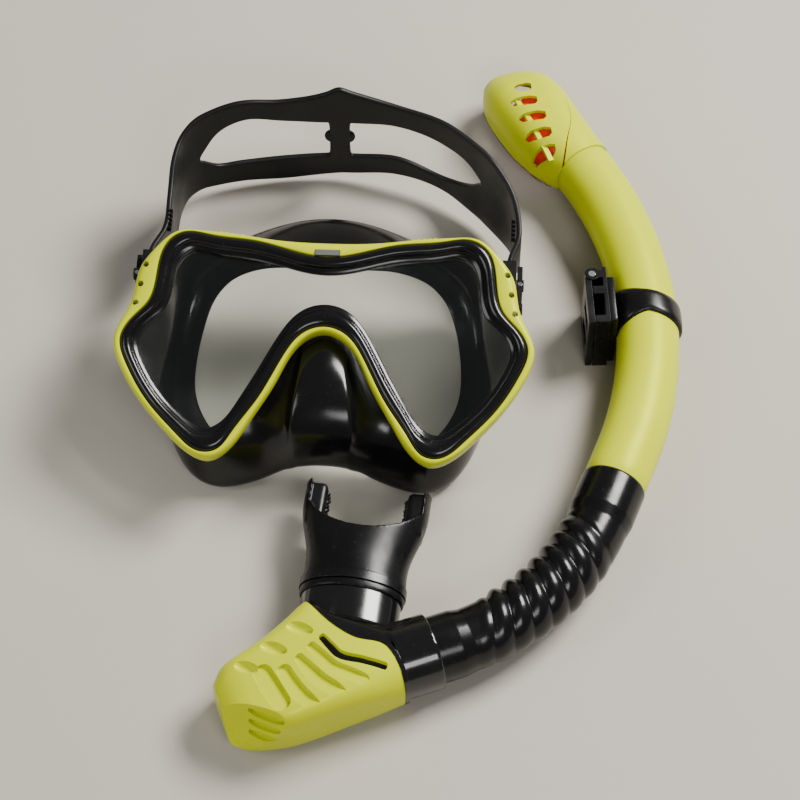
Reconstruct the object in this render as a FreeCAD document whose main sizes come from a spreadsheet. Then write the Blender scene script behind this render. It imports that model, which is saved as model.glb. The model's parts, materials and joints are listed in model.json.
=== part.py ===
"""Half mask and dry snorkel set, lying on the floor as a parametric FreeCAD document.

Row frame: +Z up, millimetres, origin on the floor under the middle of the set.
Mask frame: X across the face, Y towards the forehead, Z out through the lens.
Snorkel frame: the centre of the barrel's bend, on the floor.
"""
import FreeCAD, Part
import math
import os
import Sketcher
from FreeCAD import Placement, Rotation, Vector

X_AXIS = Vector(1, 0, 0)
Y_AXIS = Vector(0, 1, 0)
Z_AXIS = Vector(0, 0, 1)

# ---------------------------------------------------------------- driving dimensions
SIZES = [
    ("mask_x", -34.2, "mask frame origin, across"),
    ("mask_y", -4.7, "mask frame origin, front to back"),
    ("mask_z", 58.0, "height of the lens ring crest above the floor"),
    ("mask_tilt", 20.0, "tilt of the lens, forehead side up, degrees"),
    ("mask_yaw", -2.2, "turn of the mask on the floor, degrees"),
    ("ring_depth", 5.0, "depth of the lens retaining ring"),
    ("ring_chamfer", 1.4, "bevel of the retaining ring's edges"),
    ("lens_thickness", 3.4, "thickness of the tempered lens"),
    ("lens_margin", 3.2, "how far the lens reaches under the ring"),
    ("bezel_front", 1.0, "bezel face below the ring crest"),
    ("bezel_back", 8.6, "bezel back below the ring crest"),
    ("tab_width", 10.6, "width of the lock tab"),
    ("tab_height", 2.4, "height of the lock tab across the rim"),
    ("tab_bottom", 37.4, "lock tab's lower edge above the mask centre"),
    ("tab_depth", 2.2, "depth of the lock tab's pocket"),
    ("wing_hole_radius", 1.3, "grip dimples on the wings"),
    ("dimple_depth", 1.4, "depth of dimples in the bezel"),
    ("skirt_wall", 2.0, "thickness of the silicone skirt"),
    ("buckle_x", 78.0, "middle of a buckle from the mask middle"),
    ("arm_inner", 71.5, "inner face of the bezel's strap arm from the mask middle"),
    ("arm_thickness", 3.0, "thickness of the bezel's strap arm"),
    ("arm_width", 12.0, "width of the bezel's strap arm"),
    ("arm_top", 5.3, "top of the bezel's strap arm below the ring crest"),
    ("pivot_y", 22.0, "strap pivot towards the forehead"),
    ("pivot_depth", 27.0, "strap pivot below the ring crest"),
    ("pivot_pin_radius", 2.2, "radius of the strap pivot stud"),
    ("pivot_pin_length", 9.4, "length of the strap pivot stud"),
    ("boss_radius", 5.0, "reach of the arm and the buckle past the pivot"),
    ("pin_fit", 0.05, "radial clearance of a running pin"),
    ("buckle_length", 24.0, "length of a buckle cheek"),
    ("buckle_height", 23.0, "height of a buckle across the strap"),
    ("buckle_thickness", 6.0, "thickness of a buckle"),
    ("buckle_wall", 2.2, "wall of a buckle cheek"),
    ("roller_radius", 2.4, "radius of the strap roller"),
    ("roller_place", 13.0, "strap roller from the pivot"),
    ("lever_length", 13.0, "length of the release lever"),
    ("lever_height", 13.6, "width of the release lever"),
    ("lever_thickness", 2.2, "thickness of the release lever"),
    ("lever_place", 7.6, "lever hinge from the pivot"),
    ("lug_height", 3.3, "width of a lever lug"),
    ("lug_depth", 3.3, "how far a lever lug stands out of the buckle"),
    ("lever_pin_radius", 1.0, "radius of the lever's hinge pin"),
    ("strap_thickness", 2.4, "thickness of the silicone strap"),
    ("snorkel_x", -66.6, "centre of the barrel's bend, across"),
    ("snorkel_y", 27.2, "centre of the barrel's bend, front to back"),
    ("axis_height", 17.0, "height of the snorkel's centre line"),
    ("barrel_bend", 173.6, "radius of the barrel's bend"),
    ("barrel_start", -21.8, "angle where the barrel's bend begins"),
    ("barrel_sweep", 53.5, "angle of the barrel's bend"),
    ("barrel_radius", 13.75, "outer radius of the barrel"),
    ("barrel_bore", 11.6, "inner radius of the barrel"),
    ("barrel_tail", 15.0, "straight end of the barrel"),
    ("coupling_radius", 11.55, "outer radius of the inner coupling"),
    ("coupling_bore", 10.2, "inner radius of the inner coupling"),
    ("coupling_length", 26.0, "length of the inner coupling"),
    ("hose_lead", 19.0, "straight cuff of the hose"),
    ("hose_bend", 102.9, "radius of the hose's bend"),
    ("hose_sweep", 48.5, "angle of the hose's bend"),
    ("hose_tail", 10.0, "straight lower cuff of the hose"),
    ("hose_radius", 14.2, "outer radius of the hose cuffs"),
    ("hose_bore", 11.9, "inner radius of the hose"),
    ("hose_rib", 1.7, "radius of a hose rib's section"),
    ("rib_count", 9, "ribs on the hose"),
    ("keeper_angle", 2.6, "keeper's place on the barrel's bend, degrees"),
    ("keeper_sweep", 6.4, "keeper's width as an angle"),
    ("keeper_radius", 16.4, "outer radius of the keeper ring"),
    ("keeper_bore", 13.83, "bore of the keeper ring"),
    ("keeper_pad", 17.7, "back of the keeper's pad from the barrel's centre line"),
    ("pad_half", 11.5, "half length of the keeper's pad"),
    ("pad_height", 33.0, "height of the keeper's pad"),
    ("clip_start", -13.0, "lower end of the strap clip along the barrel"),
    ("clip_end", 16.0, "upper end of the strap clip along the barrel"),
    ("clip_height", 34.4, "height of the strap clip"),
    ("clip_plate", 1.8, "thickness of the clip's base plate"),
    ("clip_gap", 4.9, "gap for the mask strap inside the clip"),
    ("gate_plate", 2.8, "thickness of the clip's gate"),
    ("bar_start", 2.0, "lower side of the clip's middle bar"),
    ("bar_end", 6.0, "upper side of the clip's middle bar"),
    ("catch_end", -9.5, "upper side of the clip's catch"),
    ("gate_pin_radius", 1.5, "radius of the gate's hinge pin"),
    ("knuckle_radius", 3.2, "radius of the gate's knuckle"),
    ("knuckle_place", 12.6, "gate's hinge along the barrel"),
    ("pod_wall", 1.9, "wall of the dry top's shells"),
    ("float_length", 20.0, "length of the valve float"),
    ("float_width", 17.0, "width of the valve float"),
    ("float_height", 15.0, "height of the valve float"),
    ("float_start", 13.0, "lower end of the float above the barrel"),
    ("seal_length", 3.0, "thickness of the float's seal"),
    ("rod_radius", 1.2, "radius of the float's guide rod"),
    ("stub_radius", 16.2, "outer radius of the chamber's stub"),
    ("stub_bore", 14.35, "socket that takes the hose's lower cuff"),
    ("chamber_wall", 2.2, "wall of the lower chamber"),
    ("cover_wall", 1.9, "wall of the purge cover"),
    ("trim_width", 2.0, "width of the cover's edge seal"),
    ("valve_radius", 9.5, "radius of the purge valve's flap"),
    ("seat_radius", 11.5, "radius of the purge valve's seat"),
    ("seat_thickness", 2.0, "thickness of the purge valve's seat"),
    ("spoke_count", 6, "openings in the purge valve's seat"),
    ("mouth_wall", 2.2, "wall of the mouthpiece"),
    ("mouth_angle", 82.2, "direction of the mouthpiece, degrees"),
]

os.makedirs("parts", exist_ok=True)
doc = FreeCAD.newDocument("mask_and_snorkel")
sheet = doc.addObject("Spreadsheet::Sheet", "sizes")
for row, (alias, number, meaning) in enumerate(SIZES, start=1):
    sheet.set(f"A{row}", meaning)
    sheet.set(f"B{row}", str(number))
    sheet.setAlias(f"B{row}", alias)
doc.recompute()


def size(alias):
    """A driving dimension, read from the sheet."""
    return float(getattr(sheet, alias))


# ---------------------------------------------------------------- document helpers
def new_body(label, place):
    body = doc.addObject("PartDesign::Body", label)
    body.Label = label
    body.Placement = place
    return body


def origin_plane(body, role):
    for feature in body.Origin.OriginFeatures:
        if feature.Role == role:
            return feature
    raise RuntimeError(f"{body.Label} has no {role}")


def new_sketch(body, role, name, offset=None):
    """A sketch on one of the body's origin planes, raised along its normal by an expression."""
    sketch = body.newObject("Sketcher::SketchObject", f"{body.Label}_{name}")
    sketch.AttachmentSupport = [(origin_plane(body, role), "")]
    sketch.MapMode = "FlatFace"
    if offset:
        sketch.setExpression("AttachmentOffset.Base.z", offset)
    return sketch


def draw_circle(sketch, centre, radius):
    """A circle whose centre (two expressions) and radius are bound to the sheet."""
    index = sketch.addGeometry(Part.Circle(Vector(1, 1, 0), Z_AXIS, 1.0), False)
    across = sketch.addConstraint(Sketcher.Constraint("DistanceX", -1, 1, index, 3, 1.0))
    along = sketch.addConstraint(Sketcher.Constraint("DistanceY", -1, 1, index, 3, 1.0))
    width = sketch.addConstraint(Sketcher.Constraint("Radius", index, 1.0))
    sketch.setExpression(f"Constraints[{across}]", centre[0])
    sketch.setExpression(f"Constraints[{along}]", centre[1])
    sketch.setExpression(f"Constraints[{width}]", radius)
    return index


def draw_rectangle(sketch, start, left, right, bottom, top):
    """A rectangle whose four sides are expressions; start is its rough place."""
    x0, x1, y0, y1 = start
    corners = [Vector(x0, y0, 0), Vector(x1, y0, 0), Vector(x1, y1, 0), Vector(x0, y1, 0)]
    first = None
    for k in range(4):
        index = sketch.addGeometry(Part.LineSegment(corners[k], corners[(k + 1) % 4]), False)
        first = index if first is None else first
    for k in range(4):
        after = first + (k + 1) % 4
        sketch.addConstraint(Sketcher.Constraint("Coincident", first + k, 2, after, 1))
        sketch.addConstraint(Sketcher.Constraint("Vertical" if k % 2 else "Horizontal", first + k))
    for axis, point, number, expression in (
        ("DistanceX", 1, x0, left),
        ("DistanceY", 1, y0, bottom),
        ("DistanceX", 3, x1, right),
        ("DistanceY", 3, y1, top),
    ):
        line = first if point == 1 else first + 2
        bound = sketch.addConstraint(Sketcher.Constraint(axis, -1, 1, line, 1, number))
        sketch.setExpression(f"Constraints[{bound}]", expression)


def draw_outline(sketch, points):
    """A smooth closed curve through the points."""
    sketch.addGeometry(closed_curve(points), False)


def pad(body, sketch, length, reverse=False):
    feature = body.newObject("PartDesign::Pad", f"{sketch.Name}_pad")
    feature.Profile = sketch
    feature.setExpression("Length", length)
    feature.Reversed = reverse
    return feature


def pocket(body, sketch, length, reverse=False):
    feature = body.newObject("PartDesign::Pocket", f"{sketch.Name}_pocket")
    feature.Profile = sketch
    feature.setExpression("Length", length)
    feature.Reversed = reverse
    return feature


def revolve(body, sketch, angle, both_ways=False):
    feature = body.newObject("PartDesign::Revolution", f"{sketch.Name}_turn")
    feature.Profile = sketch
    feature.Midplane = both_ways
    feature.ReferenceAxis = (sketch, ["V_Axis"])
    feature.setExpression("Angle", angle)
    return feature


def chamfer_front(body, feature, height, amount):
    """Bevels the edges of the feature's face at the given height."""
    doc.recompute()
    names = []
    for k, edge in enumerate(feature.Shape.Edges, start=1):
        box = edge.BoundBox
        if abs(box.ZMin - height) < 0.01 and abs(box.ZMax - height) < 0.01:
            names.append(f"Edge{k}")
    bevel = body.newObject("PartDesign::Chamfer", f"{feature.Name}_bevel")
    bevel.Base = (feature, names)
    bevel.setExpression("Size", amount)
    return bevel


def add_cylinder(label, place, radius, height):
    """A Part cylinder bound to the sheet, along its own Z."""
    pin = doc.addObject("Part::Cylinder", label)
    pin.Label = label
    pin.setExpression("Radius", radius)
    pin.setExpression("Height", height)
    pin.Placement = place
    return pin


def add_shape(label, shape, place):
    """A sub-part made by Part's own functions."""
    piece = doc.addObject("Part::Feature", label)
    piece.Label = label
    piece.Shape = shape
    piece.Placement = place
    return piece


# ---------------------------------------------------------------- curves and lofts
def mirrored(half):
    """The closed outline of a right half that runs from the top middle to the bottom middle."""
    return list(half) + [(-u, v) for u, v in reversed(half[1:-1])]


def offset_points(points, distance):
    """Moves each point of a clockwise outline outwards."""
    moved = []
    for k, (x, y) in enumerate(points):
        ax, ay = points[k - 1]
        bx, by = points[(k + 1) % len(points)]
        run = math.hypot(bx - ax, by - ay)
        moved.append((x - (by - ay) / run * distance, y + (bx - ax) / run * distance))
    return moved


def closed_curve(points):
    curve = Part.BSplineCurve()
    curve.interpolate(Points=[Vector(x, y, 0) for x, y in points], PeriodicFlag=True)
    return curve


def rounded_section(x, y0, y1, z0, z1, radius):
    """A rounded rectangle across X, as a wire of four lines and four arcs."""
    radius = min(radius, (y1 - y0) / 2 - 0.05, (z1 - z0) / 2 - 0.05)
    centres = [
        (y1 - radius, z0 + radius, -90),
        (y1 - radius, z1 - radius, 0),
        (y0 + radius, z1 - radius, 90),
        (y0 + radius, z0 + radius, 180),
    ]

    def rim(centre, turn):
        angle = math.radians(centre[2] + turn)
        return Vector(x, centre[0] + radius * math.cos(angle), centre[1] + radius * math.sin(angle))

    edges = []
    for k, centre in enumerate(centres):
        after = centres[(k + 1) % 4]
        edges.append(Part.Arc(rim(centre, 0), rim(centre, 45), rim(centre, 90)).toShape())
        edges.append(Part.LineSegment(rim(centre, 90), rim(after, 0)).toShape())
    return Part.Wire(edges)


def loft(sections, shrink=0.0):
    """A solid through rounded rectangles (x, y0, y1, z0, z1, radius), shrunk all round."""
    wires = []
    for x, y0, y1, z0, z1, radius in sections:
        round_off = max(radius - shrink, 0.8)
        wires.append(rounded_section(x, y0 + shrink, y1 - shrink, z0 + shrink, z1 - shrink, round_off))
    return Part.makeLoft(wires, True, True)


def prism(points, z0, z1):
    """A straight-sided block over a polygon."""
    corners = [Vector(x, y, z0) for x, y in points]
    return Part.Face(Part.makePolygon(corners + corners[:1])).extrude(Vector(0, 0, z1 - z0))


def block(x0, x1, y0, y1, z0, z1, fillet=0.0):
    shape = Part.makeBox(x1 - x0, y1 - y0, z1 - z0, Vector(x0, y0, z0))
    return shape.makeFillet(fillet, shape.Edges) if fillet else shape


def ellipse_wire(x, half_width, half_height, z):
    """An ellipse across X, wide along Y."""
    curve = Part.Ellipse(Vector(0, 0, 0), half_width, half_height)
    edge = curve.toShape()
    edge.rotate(Vector(0, 0, 0), Vector(1, 1, 1), 120)
    edge.translate(Vector(x, 0, z))
    return Part.Wire([edge])


def ellipse_loft(stations, z, shrink=0.0):
    wires = [ellipse_wire(x, wide - shrink, high - shrink, z) for x, wide, high in stations]
    return Part.makeLoft(wires, True, False)


# ---------------------------------------------------------------- frames
mask_frame = Placement(
    Vector(size("mask_x"), size("mask_y"), size("mask_z")),
    Rotation(Z_AXIS, size("mask_yaw")) * Rotation(X_AXIS, size("mask_tilt")),
)
snorkel_frame = Placement(Vector(size("snorkel_x"), size("snorkel_y"), 0), Rotation())


def polar(radius, angle, z=0.0):
    turn = math.radians(angle)
    return Vector(radius * math.cos(turn), radius * math.sin(turn), z)


def frame_at(point, angle):
    """A place in the snorkel frame whose X axis points along the angle."""
    return snorkel_frame * Placement(point, Rotation(Z_AXIS, angle))


# The snorkel's centre line: the barrel's bend, its straight end, the hose's cuff and bend,
# and the chamber, each leaving the one before it in line.
barrel_end = polar(size("barrel_bend"), size("barrel_start"))
run_angle = size("barrel_start") - 90
hose_start = barrel_end + polar(size("barrel_tail"), run_angle)
bend_start = hose_start + polar(size("hose_lead"), run_angle)
bend_centre = bend_start - polar(size("hose_bend"), size("barrel_start"))
bend_end_angle = size("barrel_start") - size("hose_sweep")
bend_end = bend_centre + polar(size("hose_bend"), bend_end_angle)
chamber_angle = bend_end_angle - 90
chamber_start = bend_end + polar(size("hose_tail"), chamber_angle)
top_angle = size("barrel_start") + size("barrel_sweep")
barrel_top = polar(size("barrel_bend"), top_angle)
AXIS = size("axis_height")

# ---------------------------------------------------------------- mask outlines (right halves)
LENS_OPENING = [
    (0, 29.5), (12, 31), (30, 35.5), (50, 38), (58, 38.7), (62, 35.5), (65, 24), (68.5, 12),
    (75, 6), (78.8, -1), (76.5, -10.5), (66, -26.5), (56, -35.5), (49, -38.8), (43, -36.5),
    (36, -27.5), (28, -13.5), (19, 3), (10, 13.5), (0, 16.5),
]
RING_OUTLINE = [
    (0, 37), (12, 38.6), (30, 43), (50, 45.2), (61, 46.2), (68, 42), (72, 30), (75.5, 15),
    (82, 7.5), (86.3, -1), (83.3, -12), (72, -30), (60, -42.5), (50, -49.4), (43, -48.2),
    (37.4, -41.2), (26.4, -25.1), (16.4, -6.1), (8.9, 3.2), (0, 6.1),
]
BEZEL_OUTLINE = [
    (0, 43.4), (20, 44), (38, 46), (55, 47.5), (64.5, 46.7), (73, 39.5), (79.5, 30.5), (82.3, 17),
    (86.5, 7), (89.2, -1), (86.3, -12.5), (77, -27.5), (65, -41), (55, -49.5), (46.5, -52.2),
    (39, -48), (30, -35), (20, -18), (10, -0.8), (0, 4.0),
]
WING_HOLES = [(77.0, 31.2), (78.8, 22.6), (80.5, 14.2)]


def build_retaining_ring():
    body = new_body("lens_retaining_ring", mask_frame)
    sketch = new_sketch(body, "XY_Plane", "rim", "-sizes.ring_depth")
    draw_outline(sketch, mirrored(RING_OUTLINE))
    draw_outline(sketch, mirrored(LENS_OPENING))
    rim = pad(body, sketch, "sizes.ring_depth")
    chamfer_front(body, rim, 0.0, "sizes.ring_chamfer")


def build_bezel():
    body = new_body("frame_bezel", mask_frame)
    sketch = new_sketch(body, "XY_Plane", "rim", "-sizes.bezel_back")
    draw_outline(sketch, mirrored(BEZEL_OUTLINE))
    draw_outline(sketch, mirrored(RING_OUTLINE))
    rim = pad(body, sketch, "sizes.bezel_back - sizes.bezel_front")
    doc.recompute()
    dimples = new_sketch(body, "XY_Plane", "dimples", "-sizes.bezel_front")
    for side in (1, -1):
        for across, along in WING_HOLES:
            draw_circle(dimples, (f"{side * across}", f"{along}"), "sizes.wing_hole_radius")
    pocket(body, dimples, "sizes.dimple_depth")
    notch = new_sketch(body, "XY_Plane", "notch", "-sizes.bezel_front")
    draw_rectangle(
        notch, (-5, 5, 37, 40), "-sizes.tab_width / 2", "sizes.tab_width / 2",
        "sizes.tab_bottom - 1", "sizes.tab_bottom + sizes.tab_height",
    )
    pocket(body, notch, "sizes.tab_depth")
    for side in (1, -1):
        inner = "sizes.arm_inner" if side > 0 else "-sizes.arm_inner - sizes.arm_thickness"
        arm = new_sketch(body, "YZ_Plane", f"arm{side + 1}", inner)
        draw_rectangle(
            arm, (16, 28, -32, -5), "sizes.pivot_y - sizes.arm_width / 2",
            "sizes.pivot_y + sizes.arm_width / 2",
            "-sizes.pivot_depth - sizes.boss_radius", "-sizes.arm_top",
        )
        pad(body, arm, "sizes.arm_thickness")
        bore = new_sketch(body, "YZ_Plane", f"bore{side + 1}", inner)
        draw_circle(bore, ("sizes.pivot_y", "-sizes.pivot_depth"), "sizes.pivot_pin_radius")
        pocket(body, bore, "sizes.arm_thickness", reverse=True)


def build_lock_tab():
    body = new_body("frame_lock_tab", mask_frame)
    sketch = new_sketch(body, "XY_Plane", "tab", "-sizes.bezel_front - sizes.tab_depth")
    draw_rectangle(
        sketch, (-5, 5, 37, 39), "-sizes.tab_width / 2 + 0.1", "sizes.tab_width / 2 - 0.1",
        "sizes.tab_bottom", "sizes.tab_bottom + sizes.tab_height - 0.1",
    )
    pad(body, sketch, "sizes.tab_depth + 0.4")


def build_lens():
    body = new_body("mask_lens", mask_frame)
    sketch = new_sketch(body, "XY_Plane", "glass", "-sizes.ring_depth - sizes.lens_thickness")
    draw_outline(sketch, offset_points(mirrored(LENS_OPENING), size("lens_margin")))
    pad(body, sketch, "sizes.lens_thickness")



# ---------------------------------------------------------------- mask skirt
# One row for each point of the lens opening, from the forehead round to the lip: the middle of
# the wall, the rim that lies on the face or floor, and the inner edge of the face seal.
SKIRT_ROWS = [
    ((0, 47, -19), (0, 71.5, -31), (0, 38, -38)),
    ((12, 47.5, -19), (12, 70.3, -32), (11, 40, -39)),
    ((31, 49, -22), (33, 62, -37), (27, 42, -42)),
    ((50, 47, -27), (51, 50, -49), (42, 40, -50)),
    ((59, 44, -29), (61, 44, -55), (49, 34, -55)),
    ((64, 38, -31), (67, 36, -60), (53, 28, -59)),
    ((66, 25, -34), (70, 23, -64), (56, 17, -61)),
    ((67, 13, -36), (71, 10, -63.5), (57.5, 8, -60)),
    ((69, 3, -36), (71.5, -2, -59.5), (58, 0, -57)),
    ((71, -7, -34), (71, -12, -56), (58, -8, -54)),
    ((71, -18, -32), (69.5, -23, -52), (56.5, -16, -51)),
    ((67, -33, -28), (66, -39, -46.4), (52, -26, -46)),
    ((57, -45, -25), (59.5, -57.5, -39.6), (44, -35, -42)),
    ((46, -49, -23), (47, -64, -37.3), (36, -41, -39.5)),
    ((36, -46, -21), (33.5, -61, -37), (28, -42, -37.5)),
    ((27, -40, -19), (21.5, -57.5, -35.8), (20, -39, -36)),
]
# At the nose each row also passes under the bezel's arch and comes forward into the pocket.
NOSE_ROWS = [
    ((23.5, -17, -14), (20, -24, -12), (20, -37, -11), (14, -55, -34.4), (13, -37, -35)),
    ((14, -4, -14.5), (11.5, -15, -6), (14.5, -37, -3), (8, -53.5, -33.9), (8, -36, -34.5)),
    ((7, 5, -15), (6, -6, -5), (8, -38.5, -2.5), (4, -53, -33.4), (4, -35.5, -34)),
    ((0, 7, -15), (0, -3, -5), (0, -39, -2.5), (0, -53, -33.4), (0, -35.5, -34)),
]
SEAT_OFFSET = 2.6
SEAT_DEPTH = 10.3
SHOULDER_DEPTH = 14.0
# The smooth surface rounds off inside its corner points, so the rim's points lie this much lower.
RIM_REACH = 2.8


def skirt_rows():
    """Six points on each row: seat, shoulder, upper wall, wall, rim and seal edge."""
    seats = offset_points(mirrored(LENS_OPENING), SEAT_OFFSET)
    rows = []
    for k, (wall, rim, seal) in enumerate(SKIRT_ROWS):
        u, v = seats[k]
        shoulder = (u, v, -SHOULDER_DEPTH)
        upper = tuple((a + b) / 2 for a, b in zip(shoulder, wall))
        low_rim = (rim[0], rim[1], rim[2] - RIM_REACH)
        rows.append([(u, v, -SEAT_DEPTH), shoulder, upper, wall, low_rim, seal])
    for k, nose in enumerate(NOSE_ROWS, start=len(SKIRT_ROWS)):
        u, v = seats[k]
        rows.append([(u, v, -SEAT_DEPTH), *nose])
    left = [[(-u, v, n) for u, v, n in row] for row in reversed(rows[1:-1])]
    return [[Vector(*point) for point in row] for row in rows + left]


def skirt_shape(rows, wall):
    """A closed rubber section carried round the mask, as one smooth surface."""
    poles = []
    for k, row in enumerate(rows):
        before = rows[k - 1]
        after = rows[(k + 1) % len(rows)]
        outer = []
        inner = []
        for j, point in enumerate(row):
            along = row[min(j + 1, len(row) - 1)] - row[max(j - 1, 0)]
            around = after[j] - before[j]
            normal = along.cross(around).normalize() * (wall / 2)
            outer.append(point + normal)
            inner.append(point - normal)
        poles.append(outer + list(reversed(inner)))
    surface = Part.BSplineSurface()
    count = len(poles)
    section = len(poles[0])
    surface.buildFromPolesMultsKnots(
        poles, [1] * (count + 1), [1] * (section + 1),
        [float(k) for k in range(count + 1)], [float(k) for k in range(section + 1)],
        True, True, 3, 2,
    )
    solid = Part.Solid(Part.Shell([surface.toShape()]))
    if solid.Volume < 0:
        solid.reverse()
    return solid


add_shape("mask_skirt", skirt_shape(skirt_rows(), size("skirt_wall")), mask_frame)

# ---------------------------------------------------------------- head strap and buckles
# The strap's own frame stands on the floor under its pivots, turned with the mask.
pivot_point = mask_frame.multVec(Vector(0, size("pivot_y"), -size("pivot_depth")))
PIVOT_HEIGHT = pivot_point.z
strap_frame = Placement(Vector(pivot_point.x, pivot_point.y, 0), Rotation(Z_AXIS, size("mask_yaw")))
# The strap's line on the floor, from the left buckle to the right one, with the lower and upper
# edge of the band and of its openings at each place; a pair of noughts means no opening.
STRAP_LINE = [
    # x, y, bottom, top, opening bottom, opening top
    (-78, 16, 31.5, 49, 0, 0),
    (-78, 20, 31.5, 49, 0, 0),
    (-73, 36, 23, 47, 0, 0),
    (-72.5, 54, 13, 48, 0, 0),
    (-71.5, 70, 11, 53, 0, 0),
    (-69, 79, 9.5, 55, 0, 0),
    (-63, 87, 7, 57.5, 27, 31),
    (-56, 90.5, 5.8, 59.5, 20.5, 42),
    (-45, 94, 5, 61.5, 19, 48.5),
    (-25, 98, 3, 59, 18.5, 45),
    (-5.5, 100.2, 4.5, 62.5, 18.5, 42),
    (0, 100.5, 5, 65.5, 0, 0),
    (5.5, 100.2, 5.5, 63.5, 18.5, 42),
    (26, 97.5, 9, 58, 21, 44),
    (49, 88.5, 8.5, 57.5, 18, 42),
    (60, 80, 6.5, 56.5, 25, 39.5),
    (65, 75.5, 5.8, 56, 31.5, 34.5),
    (69, 71, 5.5, 55.5, 0, 0),
    (78.5, 57, 8, 50.5, 0, 0),
    (82, 38, 20, 46, 0, 0),
    (78, 20, 31.5, 49, 0, 0),
    (78, 16, 31.5, 49, 0, 0),
]


def wall_sections(line, low, high, thickness):
    """Upright rectangles across a line on the floor."""
    wires = []
    for k, row in enumerate(line):
        before = line[max(k - 1, 0)]
        after = line[min(k + 1, len(line) - 1)]
        along = Vector(after[0] - before[0], after[1] - before[1], 0).normalize()
        across = Vector(-along.y, along.x, 0) * (thickness / 2)
        foot = Vector(row[0], row[1], row[low])
        head = Vector(row[0], row[1], row[high])
        corners = [foot - across, foot + across, head + across, head - across]
        wires.append(Part.makePolygon(corners + corners[:1]))
    return wires


def strap_shape():
    thickness = size("strap_thickness")
    band = Part.makeLoft(wall_sections(STRAP_LINE, 2, 3, thickness), True, True)
    middle = STRAP_LINE.index(max(STRAP_LINE, key=lambda row: row[3]))
    for half_line in (STRAP_LINE[:middle], STRAP_LINE[middle:]):
        part_line = [row for row in half_line if row[5]]
        band = band.cut(Part.makeLoft(wall_sections(part_line, 4, 5, 3 * thickness), True, True))
    return band


add_shape("head_strap", strap_shape(), strap_frame)


def build_buckle(side, name):
    """A frame buckle: cheeks on a pivot stud, a strap roller and a hinged release lever."""
    # The buckle's own frame is at the pivot: X across the mask, Y towards the strap.
    place = strap_frame * Placement(Vector(side * size("buckle_x"), 0, PIVOT_HEIGHT), Rotation())
    upright = Rotation()
    half_thickness = "sizes.buckle_thickness / 2"
    body = new_body(f"{name}_buckle_body", place)
    plan = new_sketch(body, "XY_Plane", "plan", "-sizes.buckle_height / 2")
    draw_rectangle(
        plan, (-3, 3, -5, 19), f"-{half_thickness}", half_thickness,
        "-sizes.boss_radius", "sizes.buckle_length - sizes.boss_radius",
    )
    pad(body, plan, "sizes.buckle_height")
    window = new_sketch(body, "YZ_Plane", "window", f"-{half_thickness} - 1")
    draw_rectangle(
        window, (6, 20, -8, 8), "sizes.boss_radius + 1.5",
        "sizes.buckle_length - sizes.boss_radius + 1",
        "-sizes.buckle_height / 2 + sizes.buckle_wall", "sizes.buckle_height / 2 - sizes.buckle_wall",
    )
    pocket(body, window, "sizes.buckle_thickness + 2", reverse=True)
    eye = new_sketch(body, "YZ_Plane", "eye", f"-{half_thickness} - 1")
    draw_circle(eye, ("0", "0"), "sizes.pivot_pin_radius + sizes.pin_fit")
    pocket(body, eye, "sizes.buckle_thickness + 2", reverse=True)
    lug_x = side * (size("buckle_thickness") / 2 + size("lever_thickness") / 2 + 0.6)
    if side > 0:
        lug_sides = (half_thickness, f"{half_thickness} + sizes.lug_depth")
    else:
        lug_sides = (f"-{half_thickness} - sizes.lug_depth", f"-{half_thickness}")
    for k, foot in enumerate(("sizes.lever_height / 2 + 0.3",
                              "-sizes.lever_height / 2 - 0.3 - sizes.lug_height")):
        lug = new_sketch(body, "XY_Plane", f"lug{k}", foot)
        draw_rectangle(
            lug, (side * 4 - 1, side * 4 + 1, 5, 9), *lug_sides,
            "sizes.lever_place - 2", "sizes.lever_place + 2",
        )
        pad(body, lug, "sizes.lug_height")
    lug_bore = new_sketch(body, "XY_Plane", "lug_bore", "-sizes.buckle_height / 2")
    draw_circle(lug_bore, (f"{lug_x}", "sizes.lever_place"), "sizes.lever_pin_radius")
    pocket(body, lug_bore, "sizes.buckle_height", reverse=True)

    stud = place * Placement(
        Vector(side * (size("arm_inner") - size("buckle_x")), 0, 0), Rotation(Y_AXIS, side * 90),
    )
    add_cylinder(f"{name}_pivot_stud", stud, "sizes.pivot_pin_radius", "sizes.pivot_pin_length")
    roller_foot = Vector(0, size("roller_place"), size("buckle_wall") - size("buckle_height") / 2)
    add_cylinder(
        f"{name}_strap_roller", place * Placement(roller_foot, upright),
        "sizes.roller_radius", "sizes.buckle_height - 2 * sizes.buckle_wall",
    )
    pin_half = size("lever_height") / 2 + size("lug_height") + 0.3
    add_cylinder(
        f"{name}_lever_pin", place * Placement(Vector(lug_x, size("lever_place"), -pin_half), upright),
        "sizes.lever_pin_radius", "sizes.lever_height + 2 * sizes.lug_height + 0.6",
    )
    lever = new_body(f"{name}_release_lever", place * Placement(
        Vector(lug_x, size("lever_place"), 0), upright,
    ))
    plate = new_sketch(lever, "XY_Plane", "plate", "-sizes.lever_height / 2")
    draw_rectangle(
        plate, (-1, 1, -2, 11), "-sizes.lever_thickness / 2", "sizes.lever_thickness / 2",
        "-1.3", "sizes.lever_length - 1.3",
    )
    pad(lever, plate, "sizes.lever_height")
    lever_bore = new_sketch(lever, "XY_Plane", "bore", "-sizes.lever_height / 2")
    draw_circle(lever_bore, ("0", "0"), "sizes.lever_pin_radius + sizes.pin_fit")
    pocket(lever, lever_bore, "sizes.lever_height", reverse=True)


build_retaining_ring()
build_bezel()
build_lock_tab()
build_lens()
build_buckle(-1, "left")
build_buckle(1, "right")

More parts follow.
